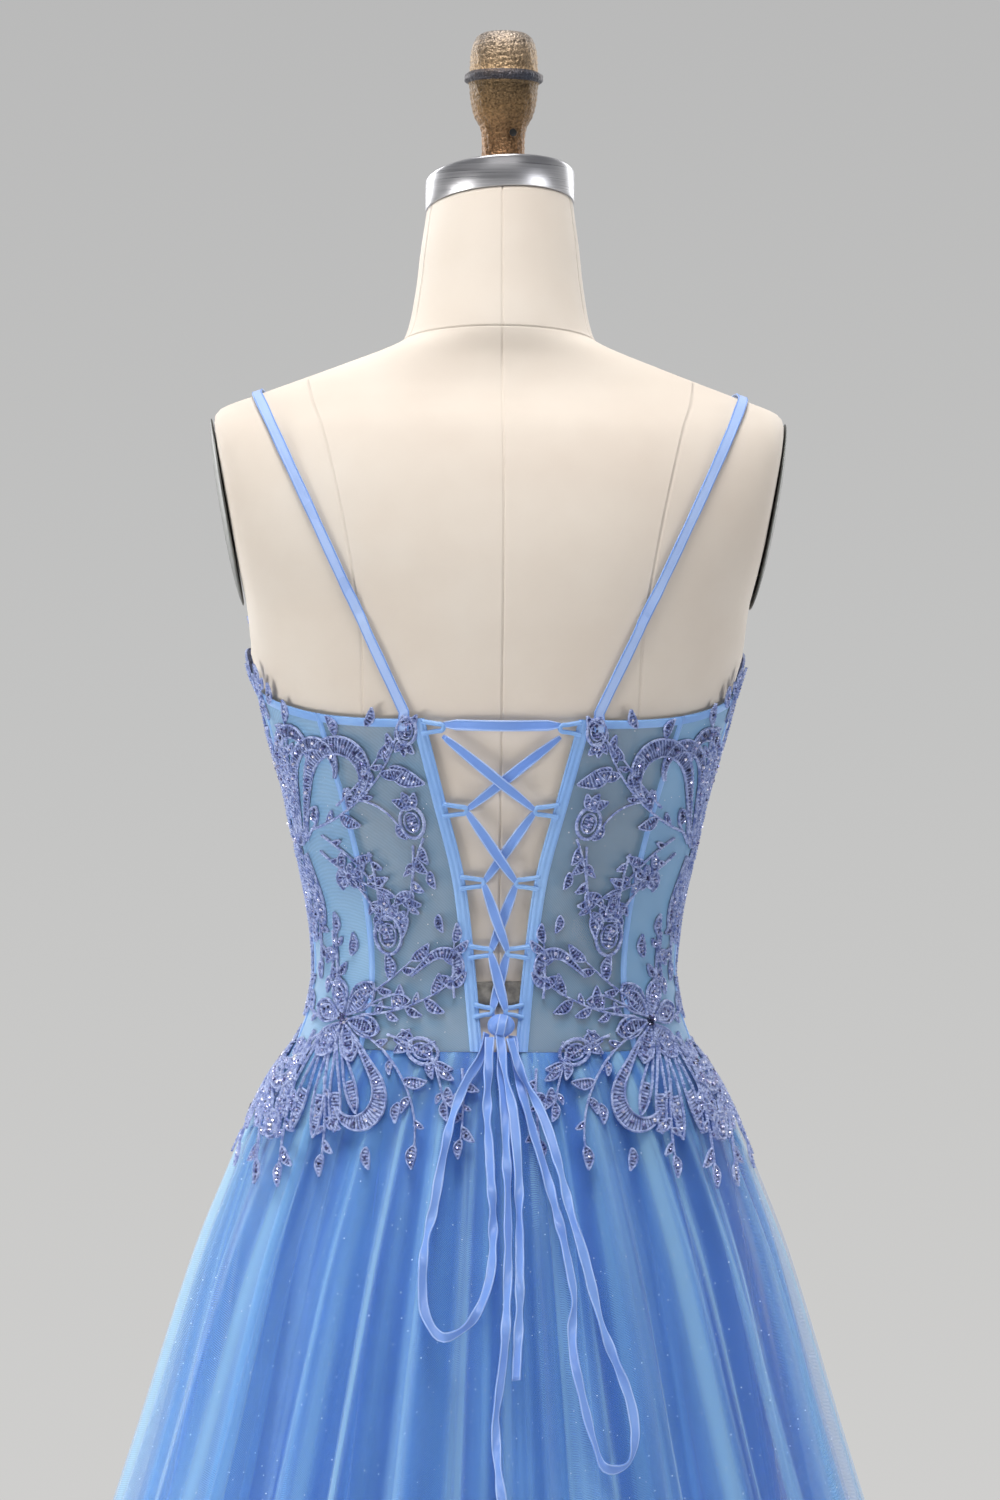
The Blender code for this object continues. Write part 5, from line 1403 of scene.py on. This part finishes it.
def spread(widths, count):
    """Widths read at count even places; a single width holds all along."""
    widths = np.atleast_1d(widths)
    return np.interp(np.linspace(0, 1, count), np.linspace(0, 1, len(widths)), widths)


class Lace:
    """Motifs as rows of s, z and height above the cloth, with their faces and looks."""

    def __init__(self):
        self.points = []
        self.faces = []
        self.slots = []
        self.count = 0
        self.shift = 0.0
        self.flip = 1

    def add(self, points, faces, slots):
        points = np.array(points, float).reshape(-1, 3)
        points[:, 0] = self.shift + self.flip * points[:, 0]
        self.points.append(points)
        for face in faces:
            corners = [self.count + int(index) for index in face]
            self.faces.append(corners[::-1] if self.flip < 0 else corners)
        self.slots += slots
        self.count += len(points)

    def strip(self, even, wide, tall, level, section, row_slots):
        """A raised strip; its section has shares of the half width and of the height."""
        shares, raised = np.array(section).T
        flat = even[:, None] + flat_side(even)[:, None] * (shares[None, :, None] * wide[:, None, None] / 2)
        height = level + raised[None, :] * tall[:, None]
        faces = grid_faces(len(even), len(shares))
        slots = [slot for slot in row_slots for _ in range(len(shares) - 1)]
        self.add(np.concatenate([flat, height[..., None]], -1), faces, slots)

    def cord(self, path, wide=CORD_WIDE, tall=CORD_TALL, level=0.0):
        """A twisted cord along a flat path; wide may be a row of widths."""
        even = even_points(path, LACE_STEP)
        stitch = 1 + 0.22 * np.where(np.arange(len(even)) % 2, 1, -1)
        wide = spread(wide, len(even)) * stitch ** 0.5
        self.strip(even, wide, tall * stitch, level, CORD_SECTION, [CORD_SLOT] * (len(even) - 1))

    def edges(self, middle, across, wide=CORD_WIDE, tall=CORD_TALL, level=0.0):
        """A cord on each side of a path."""
        self.cord(middle + across, wide, tall, level)
        self.cord(middle - across, wide, tall, level)

    def band(self, middle, wide, tall):
        """A filling of stitches laid like a ladder across a band of changing width; the rows between the
        stitches take the painted shade of their gaps.
        """
        even = even_points(middle, LACE_STEP)
        stitch = np.where(np.arange(len(even)) % 2, 1.0, 0.45)
        # Every other row is a gap between stitches, in painted shade
        slots = [GAP_SHADE_SLOT if row % 2 else CORD_SLOT for row in range(len(even) - 1)]
        self.strip(even, spread(wide, len(even)), tall * stitch, 0.0, BAND_SECTION, slots)

    def bead(self, s, z, size=0.0011, level=0.0012):
        corners = BEAD_CORNERS * size / math.sqrt(1 + GOLDEN ** 2)
        turn = 7.0 * (s + z) * 100
        cosine, sine = math.cos(turn), math.sin(turn)
        spin = np.array([[cosine, -sine, 0], [sine, cosine, 0], [0, 0, 1]])
        self.add(corners @ spin + np.array([s, z, level]), BEAD_FACES, [BEAD_SLOT] * len(BEAD_FACES))

    def leaf(self, s, z, heading, length, wide=0.42):
        t = np.linspace(0, 1, 12)
        bend = 0.10 * length * np.sin(math.pi * t)
        half = wide * length / 2 * np.sin(math.pi * t ** 0.82) ** 0.9
        along, across = heading_lines(heading)
        middle = np.array([s, z]) + along * (length * t)[:, None] + across * bend[:, None]
        self.band(middle, 2 * half, 0.0010)
        self.edges(middle, across * half[:, None], level=0.0002)
        self.bead(*middle[5], 0.00085 + 0.014 * length)
        if length > 0.0145:
            self.bead(*middle[3], 0.0007)
            self.bead(*middle[8], 0.0007)

    def sprig(self, s, z, heading, length, bend, leaves, leaf_length):
        t = np.linspace(0, 1, 24)
        path, angles = bent_path(s, z, heading, length, bend * t)
        self.cord(path, np.linspace(0.0019, 0.0012, 24), 0.0017, 0.0003)
        for leaf in range(leaves - 1):
            share = 0.20 + 0.66 * leaf / max(leaves - 2, 1)
            place = int(share * 23)
            size = leaf_length * (0.78 + 0.30 * math.sin(1.9 * leaf + 40 * s))
            lean = 52 + 10 * math.sin(2.3 * leaf + 9 * z)
            turn = lean if leaf % 2 else -lean
            self.leaf(*path[place], math.degrees(angles[place]) + turn, size)
        if leaves:
            self.leaf(*path[-1], math.degrees(angles[-1]), leaf_length)

    def cane(self, s, z, heading, length, curl, wide):
        """A long stitched band that curls over at its end."""
        t = np.linspace(0, 1, 60)
        ease = np.clip((t - 0.30) / 0.70, 0, 1)
        path, _ = bent_path(s, z, heading, length, curl * ease ** 1.25)
        widths = wide * (0.16 + 0.84 * np.sin(math.pi * np.clip(t ** 1.5, 0, 1)) ** 1.1)
        widths[-12:] = np.linspace(widths[-12], 0.0010, 12)
        self.band(path, widths, 0.0015)
        self.edges(path, flat_side(path) * widths[:, None] / 2, 0.0016, 0.0018, 0.0003)
        walked = 0.0
        for place in range(12, 56):
            walked += length / 59
            if walked > 0.0075 and widths[place] > 0.45 * wide:
                self.bead(*path[place], 0.0014, 0.0018)
                walked = 0.0

    def loop(self, s, z, heading, length, bend, wide):
        """A long narrow loop of cord, round at its far end."""
        t = np.linspace(0, 1, 30)
        path, _ = bent_path(s, z, heading, length, bend * t)
        half = wide / 2 * np.sin(math.pi * t ** 1.9) ** 0.75
        self.edges(path, flat_side(path) * half[:, None], 0.0015, 0.0017, 0.0002)
        self.band(path[17:28], 1.4 * half[17:28], 0.0009)
        for place in (19, 23, 26):
            self.bead(*path[place])

    def flower(self, s, z, turn, size, petals):
        large = size > 0.015
        t = np.linspace(0, 1, 16)
        for petal in range(petals):
            along, across = heading_lines(turn + 360 * petal / petals)
            length = size * (1.0 + 0.12 * math.sin(2.2 * petal + 30 * s))
            half = 0.27 * length * np.sin(math.pi * t ** 1.35) ** 0.8
            middle = np.array([s, z]) + along * (0.10 * size + length * t)[:, None]
            self.band(middle, 1.7 * half, 0.0010)
            for share in (1.0, 0.62) if large else (1.0,):
                shrink = 0.5 + 0.5 * share
                inner = np.array([s, z]) + along * (0.10 * size + length * shrink * t)[:, None]
                self.edges(inner, across * half[:, None] * share, 0.0015, 0.0019, 0.0004)
            if large:
                for place, sideways in ((6, 0.0), (8, 0.35), (8, -0.35), (10, 0.0), (12, 0.3), (12, -0.3)):
                    self.bead(*(middle[place] + across * half[place] * sideways), 0.0010)
        ring = max(5, petals)
        for spot in range(ring):
            angle = math.tau * spot / ring
            place = (s + 0.11 * size * math.cos(angle), z + 0.11 * size * math.sin(angle))
            self.bead(*place, 0.0008 + 0.02 * size, 0.0022)
        self.bead(s, z, 0.0010 + 0.03 * size, 0.0026)

    def bud(self, s, z, heading, size):
        """An oval of double cord with small petals over its head."""
        along, across = heading_lines(heading)
        centre = np.array([s, z])
        angle = np.linspace(0, math.tau, 40)
        ring = np.cos(angle)[:, None] * along * size + np.sin(angle)[:, None] * across * size * 0.74
        self.cord(centre + ring, 0.0024, 0.0020)
        self.cord(centre + ring * 0.62, 0.0015, 0.0018)
        filling = centre + along * np.linspace(-0.45, 0.45, 10)[:, None] * size
        self.band(filling, np.full(10, 0.6 * size), 0.0010)
        for petal in (-40, 0, 40):
            self.leaf(*(centre - along * size * 0.8), heading + 180 + petal, size * 1.15, 0.5)
        for share in (-0.3, 0.1, 0.5):
            self.bead(*(centre + along * size * share), 0.0012, 0.0018)

    def draw(self, motifs, shift, flip):
        """All the motifs of a table, moved along s by the shift and turned over where flip is -1."""
        self.shift, self.flip = shift, flip
        kinds = (("sprigs", self.sprig), ("canes", self.cane), ("loops", self.loop), ("flowers", self.flower),
                 ("buds", self.bud), ("leaves", self.leaf))
        for kind, draw_one in kinds:
            for row in motifs[kind]:
                draw_one(*row)


def arc_table():
    """Turns where the cloth's length from the centre back reaches each s, one row for each height."""
    turns = np.linspace(0, math.pi, 481)
    rows = []
    for z in ARC_HEIGHTS:
        spots = dress(turns, z, 0.001)
        walked = np.concatenate([[0.0], np.cumsum(np.linalg.norm(np.diff(spots, axis=0), axis=1))])
        rows.append(np.interp(ARC_STEPS, walked, turns))
    return np.array(rows)


ARC_RISE = 0.004
ARC_STEP = 0.001
ARC_HEIGHTS = np.arange(0.900, 1.336, ARC_RISE)
ARC_STEPS = np.linspace(0, 0.60, 601)
ARCS = arc_table()


def lace_turn(s, z):
    row = np.clip((z - ARC_HEIGHTS[0]) / ARC_RISE, 0, len(ARC_HEIGHTS) - 1.001)
    place = np.clip(np.abs(s) / ARC_STEP, 0, len(ARC_STEPS) - 1.001)
    low_row, low_place = row.astype(int), place.astype(int)
    row_share, place_share = row - low_row, place - low_place
    near = ARCS[low_row, low_place] * (1 - place_share) + ARCS[low_row, low_place + 1] * place_share
    far = ARCS[low_row + 1, low_place] * (1 - place_share) + ARCS[low_row + 1, low_place + 1] * place_share
    return np.sign(s) * (near * (1 - row_share) + far * row_share)


def lay_lace(name, lace, side, replaced):
    flat = np.concatenate(lace.points)
    turns = side * lace_turn(flat[:, 0], flat[:, 1])
    points = dress(turns, flat[:, 1], flat[:, 2] + 0.0002)
    looks = [CORD_THREAD_HIGHLIT, GAP_SHADE_THREAD, BEAD]
    made = piece(name, points, lace.faces, looks, (replaced,), lace.slots)
    made.data.polygons.foreach_set("use_smooth", np.array(lace.slots) != BEAD_SLOT)


# Each lace piece: its tables of motifs, with their shift along s and 1, or -1 where they are turned over
LACE_PIECES = (
    ("back", ((LACE_UPPER, 0.0, 1),)),
    ("hip", ((LACE_HIP, 0.0, 1),)),
    ("side", ((LACE_SIDE, 0.0, 1),)),
    ("front", ((LACE_CUP, 0.0, 1), (LACE_UPPER, 0.395, -1))),
    ("front_hip", ((LACE_HIP, 0.335, -1),)),
)


def make_lace():
    for word, side in SIDES:
        for name, layers in LACE_PIECES:
            lace = Lace()
            for layer in layers:
                lace.draw(*layer)
            lay_lace(f"lace_{name}_{word}", lace, side, f"applique_{name}_{word}")


make_lace()


# Light and floor
def area_light(name, place, aim, size, power, color):
    data = bpy.data.lights.new(name, "AREA")
    data.shape = "RECTANGLE"
    data.size, data.size_y = size
    data.energy = power
    data.color = color
    lamp = bpy.data.objects.new(name, data)
    scene.collection.objects.link(lamp)
    lamp.location = place
    lamp.rotation_mode = "QUATERNION"
    lamp.rotation_quaternion = (Vector(aim) - Vector(place)).to_track_quat("-Z", "Y")


# Lamps: name, place, aim, size, power, colour
LAMPS = (
    ("overhead", (-0.25, -0.75, 3.6), (0, 0, 1.25), (1.3, 1.0), 64.0, (1.0, 0.985, 0.97)),
    ("front_soft", (0.10, -2.5, 1.98), (0, 0, 1.45), (2.4, 0.5), 5.0, (1.0, 0.98, 0.955)),
    ("key_left", (-1.9, -1.0, 0.15), (-0.1, 0, 0.20), (1.0, 0.8), 34.0, (1.0, 0.985, 0.96)),
    ("fill_right", (2.2, -1.2, 0.3), (0.1, 0, 0.28), (1.2, 1.0), 19.0, (0.97, 0.98, 1.0)),
    ("rim_back_left", (-2.0, 2.2, 2.0), (0, 0, 0.90), (1.2, 2.4), 46.0, (1.0, 1.0, 1.0)),
    ("rim_back_right", (2.0, 2.2, 2.0), (0, 0, 0.90), (1.2, 2.4), 26.0, (1.0, 1.0, 1.0)),
)
for lamp_row in LAMPS:
    area_light(*lamp_row)

world = bpy.data.worlds.new("studio")
scene.world = world
world.use_nodes = True
tree = world.node_tree
background = tree.nodes["Background"]
background.inputs["Strength"].default_value = 1.0
direction = tree.nodes.new("ShaderNodeTexCoord")
split = tree.nodes.new("ShaderNodeSeparateXYZ")
tree.links.new(direction.outputs["Generated"], split.inputs["Vector"])
wall_stops = [(0.0, (0.64, 0.635, 0.625)), (0.5, (0.545, 0.545, 0.54)), (1.0, (0.475, 0.475, 0.475))]
wall = ramp_node(tree, range_node(tree, split.outputs["Z"], 0.0, 1.0, -0.2, 0.2), wall_stops)
ahead = range_node(tree, split.outputs["Y"], 0.0, 1.0, -0.3, 0.5)
tree.links.new(mix_node(tree, ahead, (0.19, 0.19, 0.20, 1.0), wall), background.inputs["Color"])

FLOOR_HALF = 3.4
FLOOR_Z = -0.0005
floor_points = [(x * FLOOR_HALF, y * FLOOR_HALF, FLOOR_Z) for x, y in ((-1, -1), (1, -1), (1, 1), (-1, 1))]
floor_mesh = bpy.data.meshes.new("floor")
floor_mesh.from_pydata(floor_points, [], [(0, 1, 2, 3)])
floor_mesh.materials.append(FLOOR)
floor = bpy.data.objects.new("floor", floor_mesh)
scene.collection.objects.link(floor)
